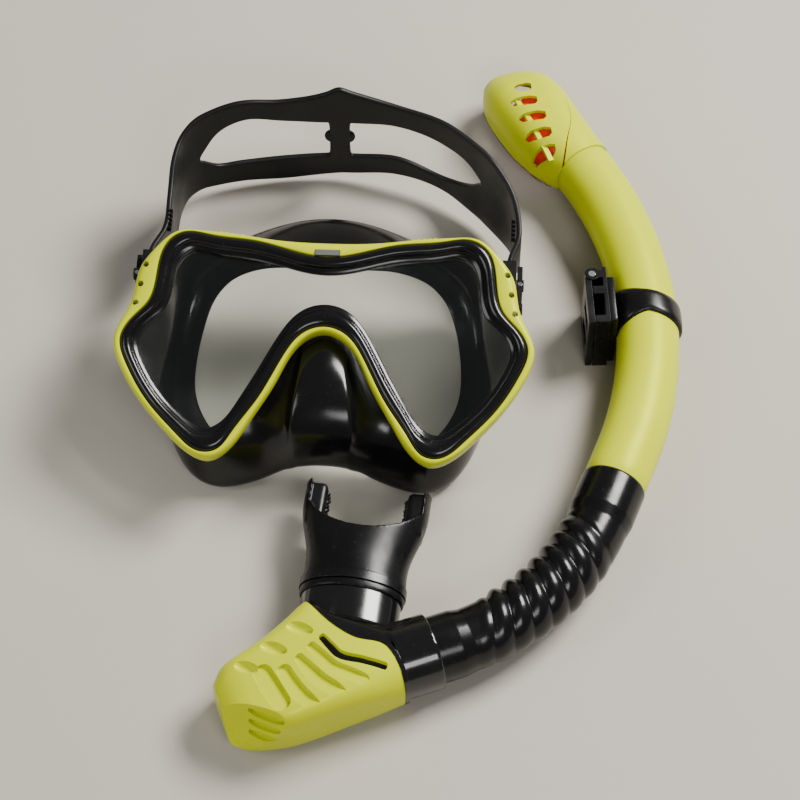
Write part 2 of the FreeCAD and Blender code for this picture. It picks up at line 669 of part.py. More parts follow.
# ---------------------------------------------------------------- snorkel barrel and hose
def build_barrel():
    """The bent breathing tube: a bend about the snorkel frame's axis and a straight end."""
    place = snorkel_frame * Placement(Vector(), Rotation(Z_AXIS, size("barrel_start")))
    body = new_body("snorkel_barrel", place)
    bend = new_sketch(body, "XZ_Plane", "bend")
    draw_circle(bend, ("sizes.barrel_bend", "sizes.axis_height"), "sizes.barrel_radius")
    draw_circle(bend, ("sizes.barrel_bend", "sizes.axis_height"), "sizes.barrel_bore")
    revolve(body, bend, "sizes.barrel_sweep")
    tail = new_sketch(body, "XZ_Plane", "tail")
    draw_circle(tail, ("sizes.barrel_bend", "sizes.axis_height"), "sizes.barrel_radius")
    draw_circle(tail, ("sizes.barrel_bend", "sizes.axis_height"), "sizes.barrel_bore")
    pad(body, tail, "sizes.barrel_tail")


def build_coupling():
    """A short sleeve inside the joint of the barrel and the hose."""
    middle = hose_start + Vector(0, 0, AXIS) - polar(size("coupling_length") / 2, run_angle)
    place = snorkel_frame * Placement(middle, Rotation(Z_AXIS, run_angle) * Rotation(Y_AXIS, 90))
    body = new_body("barrel_coupling", place)
    section = new_sketch(body, "XY_Plane", "section")
    draw_circle(section, ("0", "0"), "sizes.coupling_radius - 0.1")
    draw_circle(section, ("0", "0"), "sizes.coupling_bore")
    pad(body, section, "sizes.coupling_length")


SOCKET_DEPTH = 8.0
RIB_TILT = 22.0


def hose_path():
    """The hose's centre line: a straight cuff, the bend, and a straight lower cuff."""
    raised = Vector(0, 0, AXIS)
    middle = bend_centre + polar(size("hose_bend"), (size("barrel_start") + bend_end_angle) / 2)
    low = chamber_start + polar(SOCKET_DEPTH, chamber_angle)
    return Part.Wire([
        Part.LineSegment(hose_start + raised, bend_start + raised).toShape(),
        Part.Arc(bend_start + raised, middle + raised, bend_end + raised).toShape(),
        Part.LineSegment(bend_end + raised, low + raised).toShape(),
    ])


def build_hose():
    """A soft hose with slanted ribs round its bend."""
    path = hose_path()
    start = hose_start + Vector(0, 0, AXIS)
    heading = polar(1, run_angle)
    discs = [
        Part.Face(Part.Wire([Part.Circle(start, heading, radius).toShape()]))
        for radius in (size("hose_radius") - 0.6, size("hose_bore"))
    ]
    outer, inner = [path.makePipe(disc) for disc in discs]
    ribs = []
    count = int(size("rib_count"))
    for k in range(count):
        angle = size("barrel_start") - size("hose_sweep") * (k + 0.8) / (count + 0.6)
        centre = bend_centre + polar(size("hose_bend"), angle) + Vector(0, 0, AXIS)
        rib = Part.makeTorus(size("hose_radius") - 1.0, size("hose_rib"))
        tilt = Rotation(Z_AXIS, angle - 90 + RIB_TILT) * Rotation(Y_AXIS, 90)
        rib.Placement = Placement(centre, tilt)
        ribs.append(rib)
    cuffs = []
    for foot, angle, length in (
        (hose_start, run_angle, size("hose_lead") - 4),
        (bend_end + polar(1, chamber_angle), chamber_angle, size("hose_tail") + SOCKET_DEPTH - 1),
    ):
        foot = foot + Vector(0, 0, AXIS)
        cuffs.append(Part.makeCylinder(size("hose_radius"), length, foot, polar(1, angle)))
    shape = outer.fuse(ribs + cuffs).cut(inner).removeSplitter()
    add_shape("flex_hose", shape, snorkel_frame)


def build_keeper():
    """A rubber ring round the barrel with a flat pad for the strap clip."""
    turn = Rotation(Z_AXIS, size("keeper_angle"))
    body = new_body("keeper_ring", snorkel_frame * Placement(Vector(), turn))
    band = new_sketch(body, "XZ_Plane", "band")
    draw_circle(band, ("sizes.barrel_bend", "sizes.axis_height"), "sizes.keeper_radius")
    draw_circle(band, ("sizes.barrel_bend", "sizes.axis_height"), "sizes.keeper_bore")
    revolve(body, band, "sizes.keeper_sweep", both_ways=True)
    doc.recompute()
    flat = new_sketch(body, "XY_Plane", "pad", "sizes.axis_height - sizes.pad_height / 2")
    draw_rectangle(
        flat, (156, 159, -11, 11), "sizes.barrel_bend - sizes.keeper_pad",
        "sizes.barrel_bend - sizes.keeper_bore - 0.7", "-sizes.pad_half", "sizes.pad_half",
    )
    pad(body, flat, "sizes.pad_height")


def clip_frame():
    """The strap clip's frame: on the floor, X outwards across the barrel, Y along it."""
    angle = size("keeper_angle")
    return snorkel_frame * Placement(polar(size("barrel_bend"), angle), Rotation(Z_AXIS, angle))


def build_clip():
    """The clip's base: a plate on the keeper's pad with a middle bar, a catch and a knuckle."""
    body = new_body("clip_base", clip_frame())
    back = "-sizes.keeper_pad"
    front = "-sizes.keeper_pad - sizes.clip_plate"
    deep = "-sizes.keeper_pad - sizes.clip_plate - sizes.clip_gap"
    plate = new_sketch(body, "XY_Plane", "plate")
    draw_rectangle(plate, (-19.5, -17.7, -13, 16), front, back, "sizes.clip_start", "sizes.clip_end")
    pad(body, plate, "sizes.clip_height")
    doc.recompute()
    for name, low, high in (
        ("bar", "sizes.bar_start", "sizes.bar_end"),
        ("catch", "sizes.clip_start", "sizes.catch_end"),
    ):
        rib = new_sketch(body, "XY_Plane", name)
        draw_rectangle(rib, (-23.5, -19, 0, 4), f"{deep} + 0.3", f"{front} + 0.5", low, high)
        pad(body, rib, "sizes.clip_height")
    for name, foot in (("low", "0"), ("high", "sizes.clip_height * 2 / 3 + 0.2")):
        knuckle = new_sketch(body, "XY_Plane", f"knuckle_{name}", foot)
        draw_circle(knuckle, (f"{deep} + 0.5", "sizes.knuckle_place"), "sizes.knuckle_radius")
        pad(body, knuckle, "sizes.clip_height / 3 - 0.2")
        web = new_sketch(body, "XY_Plane", f"web_{name}", foot)
        draw_rectangle(
            web, (-23, -19, 10, 14), f"{deep} + 0.5", f"{front} + 0.5",
            "sizes.knuckle_place - 2", "sizes.knuckle_place + 2",
        )
        pad(body, web, "sizes.clip_height / 3 - 0.2")
    bore = new_sketch(body, "XY_Plane", "bore")
    draw_circle(bore, (f"{deep} + 0.5", "sizes.knuckle_place"), "sizes.gate_pin_radius")
    pocket(body, bore, "sizes.clip_height", reverse=True)


def hinge_point():
    """The gate's hinge in the clip's frame."""
    across = -size("keeper_pad") - size("clip_plate") - size("clip_gap") + 0.5
    return Vector(across, size("knuckle_place"), 0)


def build_gate():
    """The clip's gate: a plate hinged at the knuckle, with two windows and a grip rib."""
    body = new_body("clip_gate", clip_frame() * Placement(hinge_point(), Rotation()))
    near = "-0.5"
    far = "-0.5 - sizes.gate_plate"
    plate = new_sketch(body, "XY_Plane", "plate", "0.3")
    draw_rectangle(
        plate, (-3, -0.5, -25, 0), far, near, "sizes.clip_start - sizes.knuckle_place", "-1.0",
    )
    pad(body, plate, "sizes.clip_height - 0.6")
    doc.recompute()
    barrel = new_sketch(body, "XY_Plane", "barrel", "sizes.clip_height / 3 + 0.1")
    draw_circle(barrel, ("0", "0"), "sizes.knuckle_radius")
    pad(body, barrel, "sizes.clip_height / 3 - 0.2")
    doc.recompute()
    for name, foot in (("low", "-0.5"), ("high", "sizes.clip_height * 2 / 3")):
        relief = new_sketch(body, "XY_Plane", f"relief_{name}", foot)
        draw_circle(relief, ("0", "0"), "sizes.knuckle_radius + 0.3")
        pocket(body, relief, "sizes.clip_height / 3 + 0.5", reverse=True)
    windows = new_sketch(body, "YZ_Plane", "windows", f"{far} - 1")
    for foot in ("7", "20.5"):
        draw_rectangle(
            windows, (-20, -8, float(foot), float(foot) + 7), "-21", "-8", foot, f"{foot} + 7",
        )
    pocket(body, windows, "sizes.gate_plate + 1.6", reverse=True)
    bore = new_sketch(body, "XY_Plane", "bore")
    draw_circle(bore, ("0", "0"), "sizes.gate_pin_radius + sizes.pin_fit")
    pocket(body, bore, "sizes.clip_height", reverse=True)
    add_cylinder(
        "gate_pin", clip_frame() * Placement(hinge_point(), Rotation()),
        "sizes.gate_pin_radius", "sizes.clip_height",
    )


build_barrel()
build_coupling()
build_hose()
build_keeper()
build_clip()
build_gate()

# ---------------------------------------------------------------- dry top
# The dry top's frame is at the barrel's upper end: X along the dry top, Y to its outer side.
POD_ANGLE = top_angle + 90
pod_frame = frame_at(barrel_top, POD_ANGLE)
POD_SECTIONS = [
    # x, y0, y1, z0, z1, corner radius
    (0, -14.2, 14.4, 2.8, 31.2, 14),
    (10, -14.2, 19.0, 1.2, 32.4, 14.5),
    (25, -15.0, 21.2, 0.5, 33.2, 14.5),
    (38, -16.2, 21.0, 0.6, 33.0, 14.5),
    (48, -15.0, 20.0, 1.2, 31.6, 13.5),
    (57, -9.5, 17.8, 3.0, 28.6, 11.5),
    (64, -1.0, 13.5, 7.0, 23.0, 7),
]
GUARD_EDGE = [(70, -9), (58, -8.6), (47, -11.6), (36, -11.8), (26, -9), (16, -4), (9, 2.2),
              (0, 10), (-6, 16.5)]
GUARD_FLOOR = 12.0
VENT_SLOTS = [(43.5, 4.3, 8), (36.3, 8.4, 12.5), (26.8, 9.8, 12.5), (17.8, 12.4, 12), (9.4, 14.8, 10.5)]
VENT_WIDTH = 4.6
ROD_LENGTH = 48.0


def vent_cutters():
    """Upright blocks that cut the guard's slots, all lying across the snorkel set."""
    cutters = []
    for x, y, length in VENT_SLOTS:
        cutter = block(-length / 2, length / 2, -VENT_WIDTH / 2, VENT_WIDTH / 2, AXIS + 2, 40)
        cutter.Placement = Placement(Vector(x, y, 0), Rotation(Z_AXIS, -POD_ANGLE))
        cutters.append(cutter)
    return cutters


def build_dry_top():
    """Splash guard, base shell and clear back cover, all cut from one hollow form."""
    wall = size("pod_wall")
    outer = loft(POD_SECTIONS)
    inner = loft([row if k else (3, *row[1:]) for k, row in enumerate(POD_SECTIONS)], wall)
    mouth = Part.makeCylinder(size("barrel_bore") - 1.8, 8, Vector(-2, 0, AXIS), X_AXIS)
    shell = outer.cut(inner).cut(mouth)
    guard_side = GUARD_EDGE + [(-6, 40), (80, 40), (80, -9)]
    cutters = vent_cutters()
    neck = Part.makeCylinder(size("barrel_bore") - 0.2, 20, Vector(-10, 0, AXIS), X_AXIS)
    guard = shell.common(prism(guard_side, GUARD_FLOOR, 50)).cut([neck] + cutters)
    below = prism([(6, -40), (6, 40), (80, 40), (80, -40)], -5, GUARD_FLOOR - 0.1)
    below = below.common(prism(offset_edge(guard_side, 0.1), -5, 50))
    clear = shell.common(below)
    base = shell.cut(prism(offset_edge(guard_side, -0.1), GUARD_FLOOR - 0.1, 50)).cut(
        prism([(5.9, -40), (5.9, 40), (80, 40), (80, -40)], -5, GUARD_FLOOR).common(
            prism(offset_edge(guard_side, 0.0), -5, 50)))
    spigot = Part.makeCylinder(size("barrel_bore") - 0.5, 12, Vector(-9, 0, AXIS), X_AXIS)
    bore = Part.makeCylinder(size("barrel_bore") - 1.8, 14, Vector(-10, 0, AXIS), X_AXIS)
    bridge = block(0.5, 2.5, -10.4, 10.4, AXIS - 2, AXIS + 2)
    rod = Part.makeCylinder(size("rod_radius"), 6, Vector(-1, 0, AXIS), X_AXIS)
    base = base.fuse(spigot).cut(bore).fuse(bridge).cut(rod)
    add_shape("splash_guard", biggest_solid(guard), pod_frame)
    add_shape("dry_top_base", biggest_solid(base), pod_frame)
    add_shape("clear_back_cover", biggest_solid(clear), pod_frame)


def offset_edge(points, gap):
    """The guard's side of the dry top, with its edge moved across by a gap."""
    return [(x, y + gap) if k < len(GUARD_EDGE) else (x, y) for k, (x, y) in enumerate(points)]


def biggest_solid(shape):
    return max(shape.Solids, key=lambda solid: solid.Volume)


def build_float():
    """The splash valve's float: a hollow block on a guide rod, with a rubber seal on its end."""
    start = size("float_start")
    end = start + size("float_length")
    half_width = size("float_width") / 2
    half_height = size("float_height") / 2
    hole = Part.makeCylinder(size("rod_radius") + 0.06, 80, Vector(0, 0, AXIS), X_AXIS)
    shell = block(start, end, -half_width, half_width, AXIS - half_height, AXIS + half_height, 2.5)
    add_shape("valve_float", shell.cut(hole), pod_frame)
    pad_shape = block(
        end + 0.02, end + size("seal_length"), -half_width - 1, half_width + 1,
        AXIS - half_height - 1, AXIS + half_height + 1, 1.2,
    )
    add_shape("float_seal", pad_shape.cut(hole), pod_frame)
    rod_place = pod_frame * Placement(Vector(0.5, 0, AXIS), Rotation(Y_AXIS, 90))
    rod = add_cylinder("float_guide_rod", rod_place, "sizes.rod_radius", f"{ROD_LENGTH}")
    return rod


build_dry_top()
build_float()

# ---------------------------------------------------------------- lower chamber and purge cover
# The chamber's frame is at the end of the hose: X along the chamber, Y away from the mouthpiece.
chamber_frame = frame_at(chamber_start, chamber_angle)
COVER_SECTIONS = [
    # x, y0, y1, z0, z1, corner radius
    (15, -16.6, 16.6, 0.4, 33.6, 15.5),
    (30, -26.0, 17.5, 0.4, 34.0, 12),
    (43, -35.5, 18.0, 0.4, 34.0, 10),
    (54, -29.5, 18.8, 0.4, 33.0, 9),
    (66, -24.5, 19.0, 0.5, 31.5, 8),
    (72, -23.0, 18.2, 0.7, 30.6, 8),
    (80, -21.3, 16.6, 1.2, 29.2, 8),
    (88, -18.0, 13.5, 2.5, 26.5, 7),
    (94, -9.0, 8.0, 7.0, 21.0, 5),
]
CHAMBER_END = 72
TRIM_LINE = [(17, 30), (16.6, 5), (18.5, -1), (29, -8.5), (36, -18), (40, -27), (43, -40)]
PORT_ALONG = 21.0
PORT_OUT = -39.0
STUB_LENGTH = 17.0


def trim_side(shift):
    """The far side of the cover's trim line, moved along the chamber."""
    moved = [(x + shift, y) for x, y in TRIM_LINE]
    return [(moved[0][0], 60)] + moved + [(moved[-1][0], -60), (120, -60), (120, 60)]


port_point = Placement(chamber_start, Rotation(Z_AXIS, chamber_angle)).multVec(
    Vector(PORT_ALONG, PORT_OUT, 0))
mouth_frame = frame_at(port_point, size("mouth_angle"))
into_chamber = chamber_frame.inverse() * mouth_frame


def slanted_block(inset):
    """The space beyond the cover's slanted end face, moved inwards."""
    slant = Rotation(Z_AXIS, FACET_TURN) * Rotation(Y_AXIS, FACET_LEAN)
    beyond = Part.makeBox(200, 200, 60, Vector(-100, -100, -inset))
    beyond.Placement = Placement(FACET_POINT, slant)
    return beyond


def neck_space():
    """The space that the mouthpiece's neck takes over the port, in the chamber's frame."""
    space = ellipse_loft([(-7.5, 22.2, 15.4), (12, 22.2, 15.4)], AXIS)
    space.Placement = into_chamber
    return space


def build_cover():
    """The purge cover's shell, with an edge seal, chevron slots above and vents at its end."""
    wall = size("cover_wall")
    outer = loft(COVER_SECTIONS)
    shell = outer.cut(loft(COVER_SECTIONS, wall))
    lid = outer.common(slanted_block(wall)).cut(slanted_block(0))
    shell = shell.cut(slanted_block(0)).fuse(lid).cut(neck_space())
    trim = size("trim_width")
    body = shell.common(prism(trim_side(trim), -5, 50))
    body = body.cut(chevron_slots()).cut(end_vents())
    seal = shell.common(prism(trim_side(0), -5, 50)).cut(prism(trim_side(trim - 0.02), -5, 50))
    add_shape("purge_cover", biggest_solid(body), chamber_frame)
    add_shape("cover_edge_seal", biggest_solid(seal), chamber_frame)


FACET_POINT = Vector(73.5, 8.5, 31.0)
FACET_TURN = 47.0
FACET_LEAN = 64.9


def chevron_slots():
    """Slots through the cover's top, bent like an arrow along the chamber."""
    half = 1.1
    corner = Vector(37, -3, 0)
    slot = None
    for reach in (Vector(8.5, -10, 0), Vector(-12, 6, 0)):
        arm = block(-half, reach.Length, -half, half, 20, 50)
        arm.Placement = Placement(corner, Rotation(X_AXIS, reach))
        slot = arm if slot is None else slot.fuse(arm)
    return slot


def end_vents():
    """Three vents through the slanted end of the cover."""
    slant = Placement(FACET_POINT, Rotation(Z_AXIS, FACET_TURN) * Rotation(Y_AXIS, FACET_LEAN))
    vents = []
    for k in range(3):
        vent = block(5 + 5.5 * k, 7.6 + 5.5 * k, -8, 6, -8, 8)
        vent.Placement = slant
        vents.append(vent)
    return vents[0].fuse(vents[1:])


def build_chamber():
    """The rigid lower chamber: hose socket, hollow body and oval port for the mouthpiece."""
    wall = size("chamber_wall")
    fit = size("cover_wall") + 0.2
    rows = [row for row in COVER_SECTIONS if row[0] <= CHAMBER_END]
    outer = loft(rows, fit)
    cavity_rows = [(min(max(row[0], 18), CHAMBER_END - wall), *row[1:]) for row in rows]
    cavity = loft(cavity_rows, fit + wall)
    stub = Part.makeCylinder(size("stub_radius"), STUB_LENGTH, Vector(0, 0, AXIS), X_AXIS)
    socket = Part.makeCylinder(size("stub_bore"), SOCKET_DEPTH + 0.3, Vector(0, 0, AXIS), X_AXIS)
    bore = Part.makeCylinder(size("hose_bore"), STUB_LENGTH + 6, Vector(0, 0, AXIS), X_AXIS)
    exhaust = Part.makeCylinder(
        size("valve_radius") - 1.5, 10, Vector(CHAMBER_END - 6, VALVE_Y, VALVE_Z), X_AXIS)
    port = ellipse_loft([(-28, 19.1, 12.3), (8, 19.1, 12.3)], AXIS)
    port_bore = ellipse_loft([(-28, 17.2, 10.4), (8, 17.2, 10.4)], AXIS)
    for piece in (port, port_bore):
        piece.Placement = into_chamber
    # The open corner beside the trim line is cut back so that the port stands free of the cover.
    shoulder = outer.cut(prism([(14, -60), (14, -12), (27, -18), (27, -60)], -5, 50))
    shoulder = shoulder.cut([neck_space(), slanted_block(fit)])
    shape = shoulder.fuse([stub, port])
    shape = shape.cut(cavity.fuse([socket, bore, port_bore, exhaust]))
    shape = shape.cut(loft(COVER_SECTIONS).cut(loft(COVER_SECTIONS, fit)).common(
        prism(trim_side(0), -5, 50)))
    add_shape("lower_chamber", biggest_solid(shape), chamber_frame)


VALVE_Y = -1.5
VALVE_Z = 15.6


def build_purge_valve():
    """The purge valve: a spoked seat on the chamber's end and a thin flap over it."""
    upright = Rotation(Y_AXIS, 90)
    place = chamber_frame * Placement(Vector(CHAMBER_END + 0.02, VALVE_Y, VALVE_Z), upright)
    body = new_body("purge_valve_seat", place)
    disc = new_sketch(body, "XY_Plane", "disc")
    draw_circle(disc, ("0", "0"), "sizes.seat_radius")
    pad(body, disc, "sizes.seat_thickness")
    hole = new_sketch(body, "XY_Plane", "hole")
    draw_circle(hole, ("sizes.valve_radius / 2 + 0.8", "0"), "sizes.valve_radius / 5")
    opening = pocket(body, hole, "sizes.seat_thickness", reverse=True)
    pattern = body.newObject("PartDesign::PolarPattern", "seat_openings")
    pattern.Originals = [opening]
    pattern.Axis = (hole, ["N_Axis"])
    pattern.Angle = 360
    pattern.setExpression("Occurrences", "sizes.spoke_count")
    body.Tip = pattern
    gap = Placement(Vector(0, 0, size("seat_thickness") + 0.1), Rotation())
    add_cylinder("purge_valve_flap", place * gap, "sizes.valve_radius", "0.8")


build_cover()
build_chamber()
build_purge_valve()

# ---------------------------------------------------------------- mouthpiece
MOUTH_STATIONS = [
    # x, half width, half height
    (-7, 21.6, 14.8), (4, 21.6, 14.8), (12, 21.7, 14.7), (22, 24.0, 15.4), (34, 26.6, 16.2),
    (49, 27.4, 16.4),
]
MOUTH_SCOOP = 28.0
SCOOP_CENTRE = 50.0


def build_mouthpiece():
    """A soft oval mouthpiece: a neck over the port, a scooped flange and two studded bite tabs."""
    wall = size("mouth_wall")
    outer = ellipse_loft(MOUTH_STATIONS, AXIS)
    stations = [(-8, *MOUTH_STATIONS[0][1:])] + MOUTH_STATIONS[1:-1] + [(50, *MOUTH_STATIONS[-1][1:])]
    shape = outer.cut(ellipse_loft(stations, AXIS, wall))
    scoop = Part.makeCylinder(MOUTH_SCOOP, 60, Vector(SCOOP_CENTRE, 0, -10), Z_AXIS)
    beyond = block(SCOOP_CENTRE - 3, 80, -40, 40, -10, 50)
    shape = shape.cut(scoop.common(block(0, 80, -24, 24, -10, 50)).fuse(beyond))
    for side in (1, -1):
        y0, y1 = sorted((side * 17.0, side * 25.2))
        tab = block(25, 46, y0, y1, AXIS - 6, AXIS + 6, 2.4)
        studs = [
            Part.makeSphere(1.2, Vector(29 + 4.2 * i, side * 17.1, AXIS - 3 + 3 * j))
            for i in range(4) for j in range(3)
        ]
        shape = shape.fuse([tab] + studs)
    ring = ellipse_loft([(-3.5, 22.4, 15.6), (0.5, 22.4, 15.6)], AXIS)
    band = ring.cut(ellipse_loft([(-4, 21.2, 14.4), (1, 21.2, 14.4)], AXIS))
    add_shape("mouthpiece", biggest_solid(shape.cut(band)), mouth_frame)
    add_shape("mouthpiece_band", band, mouth_frame)


build_mouthpiece()

# ---------------------------------------------------------------- check and write every sub-part
def write_parts():
    """Stops on any failed feature or bad solid, then writes one STEP file for each sub-part."""
    doc.recompute()
    failed = [thing.Name for thing in doc.Objects if {"Invalid", "Error"} & set(thing.State)]
    if failed:
        raise RuntimeError(f"features failed: {failed}")
    kinds = ("PartDesign::Body", "Part::Feature", "Part::Cylinder")
    pieces = [thing for thing in doc.Objects if thing.TypeId in kinds]
    for piece in pieces:
        shape = piece.Shape
        if shape.isNull() or not shape.isValid() or len(shape.Solids) != 1:
            raise RuntimeError(f"{piece.Label} is not one valid solid")
        print(f"{piece.Label}: {shape.Volume / 1000:.2f} cm3")
    for piece in pieces:
        piece.Shape.exportStep(os.path.join("parts", f"{piece.Label}.step"))
    print(len(pieces), "sub-parts written")


write_parts()
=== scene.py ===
"""Half mask and dry snorkel set: the looks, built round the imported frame.

Shapes are written in millimetres in their own frames, like the frame's parts, and each piece is
scaled to metres when it is placed.
"""
import json
import math

import bmesh
import bpy
import numpy as np
from mathutils import Matrix, Vector


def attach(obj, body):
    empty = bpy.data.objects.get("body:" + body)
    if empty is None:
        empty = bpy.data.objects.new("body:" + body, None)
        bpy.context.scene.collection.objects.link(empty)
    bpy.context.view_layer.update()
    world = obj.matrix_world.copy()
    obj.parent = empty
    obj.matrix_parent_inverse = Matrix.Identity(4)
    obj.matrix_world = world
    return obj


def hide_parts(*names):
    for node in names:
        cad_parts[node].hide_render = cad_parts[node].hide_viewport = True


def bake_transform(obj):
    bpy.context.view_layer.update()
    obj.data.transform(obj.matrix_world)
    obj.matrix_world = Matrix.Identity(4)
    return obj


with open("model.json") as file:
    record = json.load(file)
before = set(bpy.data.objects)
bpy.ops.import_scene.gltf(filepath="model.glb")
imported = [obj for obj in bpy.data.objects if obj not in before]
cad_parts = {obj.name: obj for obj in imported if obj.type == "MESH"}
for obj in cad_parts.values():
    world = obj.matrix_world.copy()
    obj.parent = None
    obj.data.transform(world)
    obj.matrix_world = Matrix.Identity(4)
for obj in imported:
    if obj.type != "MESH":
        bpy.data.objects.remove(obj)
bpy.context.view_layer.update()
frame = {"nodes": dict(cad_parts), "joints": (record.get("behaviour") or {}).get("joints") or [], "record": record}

NODES = frame["nodes"]
JOINTS = {joint["name"]: joint for joint in frame["joints"]}
MM = 0.001


# ---------------------------------------------------------------- frames, from the joints
def turn(angle, axis="Z"):
    return Matrix.Rotation(math.radians(angle), 4, axis)


def joint_point(name):
    """A hinge's place, in millimetres."""
    return Vector(JOINTS[name]["pos_m"]) / MM


def heading(name):
    """The angle on the floor of a joint's axis, in degrees."""
    axis = JOINTS[name]["axis"]
    return math.degrees(math.atan2(axis[1], axis[0]))


def at(x, y, z=0.0):
    return Matrix.Translation((x, y, z))


METRES = Matrix.Scale(MM, 4)
MASK_TILT = 20.0
PIVOT_IN_MASK = Vector((0, 22, -27))
STRAP_YAW = heading("strap_swing")
pivot = joint_point("strap_swing")
mask_turn = turn(STRAP_YAW) @ turn(MASK_TILT, "X")
mask_origin = pivot - mask_turn @ PIVOT_IN_MASK
MASK = METRES @ at(*mask_origin) @ mask_turn
STRAP = METRES @ at(pivot.x, pivot.y) @ turn(STRAP_YAW)
snorkel_origin = joint_point("keeper_slide")
AXIS = snorkel_origin.z
SNORKEL = METRES @ at(snorkel_origin.x, snorkel_origin.y)


def polar(radius, angle, z=0.0):
    return Vector((radius * math.cos(math.radians(angle)), radius * math.sin(math.radians(angle)), z))


BARREL_BEND = 173.6
BARREL_START = -21.8
BARREL_SWEEP = 53.5
BARREL_TAIL = 15.0
BARREL_RADIUS = 13.75
BARREL_BORE = 11.7
HOSE_LEAD = 19.0
HOSE_BEND = 102.9
HOSE_SWEEP = 48.5
HOSE_TAIL = 10.0
HOSE_SOCKET = 8.0
run_angle = BARREL_START - 90
barrel_end = polar(BARREL_BEND, BARREL_START)
hose_start = barrel_end + polar(BARREL_TAIL, run_angle)
bend_start = hose_start + polar(HOSE_LEAD, run_angle)
bend_centre = bend_start - polar(HOSE_BEND, BARREL_START)
bend_end = bend_centre + polar(HOSE_BEND, BARREL_START - HOSE_SWEEP)
chamber_angle = heading("purge_flap_lift")
chamber_start = bend_end + polar(HOSE_TAIL, chamber_angle)
barrel_top = polar(BARREL_BEND, BARREL_START + BARREL_SWEEP)
POD_ANGLE = heading("float_slide")
POD = SNORKEL @ Matrix.Translation(barrel_top) @ turn(POD_ANGLE)
CHAMBER = SNORKEL @ Matrix.Translation(chamber_start) @ turn(chamber_angle)


# ---------------------------------------------------------------- curves
def mirrored(half):
    """The closed outline of a right half that runs from the top middle to the bottom middle."""
    return list(half) + [(-u, v) for u, v in reversed(half[1:-1])]


def hermite(a, b, slope_a, slope_b, step, fine):
    t = np.arange(fine)[:, None] / fine
    return ((2 * t**3 - 3 * t**2 + 1) * a + (t**3 - 2 * t**2 + t) * step * slope_a
            + (3 * t**2 - 2 * t**3) * b + (t**3 - t**2) * step * slope_b)


def closed_spline(points, fine):
    """A smooth closed curve through the points, with a number of steps to each span."""
    p = np.asarray(points, float)
    n = len(p)
    after = np.roll(p, -1, 0)
    before = np.roll(p, 1, 0)
    step = np.linalg.norm(after - p, axis=1)
    last = np.roll(step, 1)
    system = np.zeros((n, n))
    for k in range(n):
        system[k, k - 1] = step[k]
        system[k, k] = 2 * (step[k] + last[k])
        system[k, (k + 1) % n] = last[k]
    right = 3 * ((last / step)[:, None] * (after - p) + (step / last)[:, None] * (p - before))
    slope = np.linalg.solve(system, right)
    return np.vstack([
        hermite(p[k], after[k], slope[k], slope[(k + 1) % n], step[k], fine) for k in range(n)
    ])


def open_spline(rows, fine):
    """A smooth run through rows of numbers; the first two are a place, which sets the pace."""
    p = np.asarray(rows, float)
    step = np.linalg.norm(np.diff(p[:, :2], axis=0), axis=1)
    chord = np.diff(p, axis=0) / step[:, None]
    middle = (chord[:-1] * step[1:, None] + chord[1:] * step[:-1, None]) / (
        step[1:] + step[:-1])[:, None]
    slope = np.vstack([chord[:1], middle, chord[-1:]])
    runs = [hermite(p[k], p[k + 1], slope[k], slope[k + 1], step[k], fine) for k in range(len(step))]
    return np.vstack(runs + [p[-1:]])


def cubic(points, fine, axis):
    """A closed uniform cubic B-spline along an axis of an array of points."""
    p = np.moveaxis(np.asarray(points, float), axis, 0)
    runs = []
    for k in range(len(p)):
        a, b, c, d = (p[(k + j) % len(p)] for j in range(4))
        for i in range(fine):
            t = i / fine
            runs.append(((1 - t)**3 * a + (3 * t**3 - 6 * t**2 + 4) * b
                         + (3 * t**2 - 3 * t**3 + 3 * t + 1) * c + t**3 * d) / 6)
    return np.moveaxis(np.array(runs), 0, axis)


def across_path(path, k):
    """The direction across a path, at one of its places."""
    before, after = path[max(k - 1, 0), :2], path[min(k + 1, len(path) - 1), :2]
    run = (after - before) / np.linalg.norm(after - before)
    return -run[1], run[0]


def rounded_rectangle(y0, y1, z0, z1, radius, corner):
    """Points round a rounded rectangle, the same number at each corner."""
    radius = min(radius, (y1 - y0) / 2 - 0.02, (z1 - z0) / 2 - 0.02)
    points = []
    for cy, cz, first in ((y1 - radius, z0 + radius, -90), (y1 - radius, z1 - radius, 0),
                          (y0 + radius, z1 - radius, 90), (y0 + radius, z0 + radius, 180)):
        for k in range(corner):
            angle = math.radians(first + 90 * k / (corner - 1))
            points.append((cy + radius * math.cos(angle), cz + radius * math.sin(angle)))
    return points


# ---------------------------------------------------------------- meshes
def new_object(name, points, faces, place):
    mesh = bpy.data.meshes.new(name)
    mesh.from_pydata([tuple(p) for p in points], [], faces)
    mesh.transform(place)
    mesh.validate()
    obj = bpy.data.objects.new(name, mesh)
    bpy.context.scene.collection.objects.link(obj)
    return obj


def skin(name, grid, place, closed_rows=False):
    """A surface over rows of points; each row is a closed loop. Open rows get a cap at each end."""
    grid = np.asarray(grid, float)
    rows, cols = grid.shape[:2]
    faces = []
    for i in range(rows if closed_rows else rows - 1):
        below = i * cols
        above = ((i + 1) % rows) * cols
        for j in range(cols):
            after = (j + 1) % cols
            faces.append((below + j, below + after, above + after, above + j))
    if not closed_rows:
        faces.append(tuple(reversed(range(cols))))
        faces.append(tuple(range((rows - 1) * cols, rows * cols)))
    obj = new_object(name, grid.reshape(-1, 3), faces, place)
    outward(obj)
    return obj


def outward(obj):
    """Turns every face outwards."""
    mesh = bmesh.new()
    mesh.from_mesh(obj.data)
    bmesh.ops.recalc_face_normals(mesh, faces=mesh.faces)
    mesh.to_mesh(obj.data)
    mesh.free()


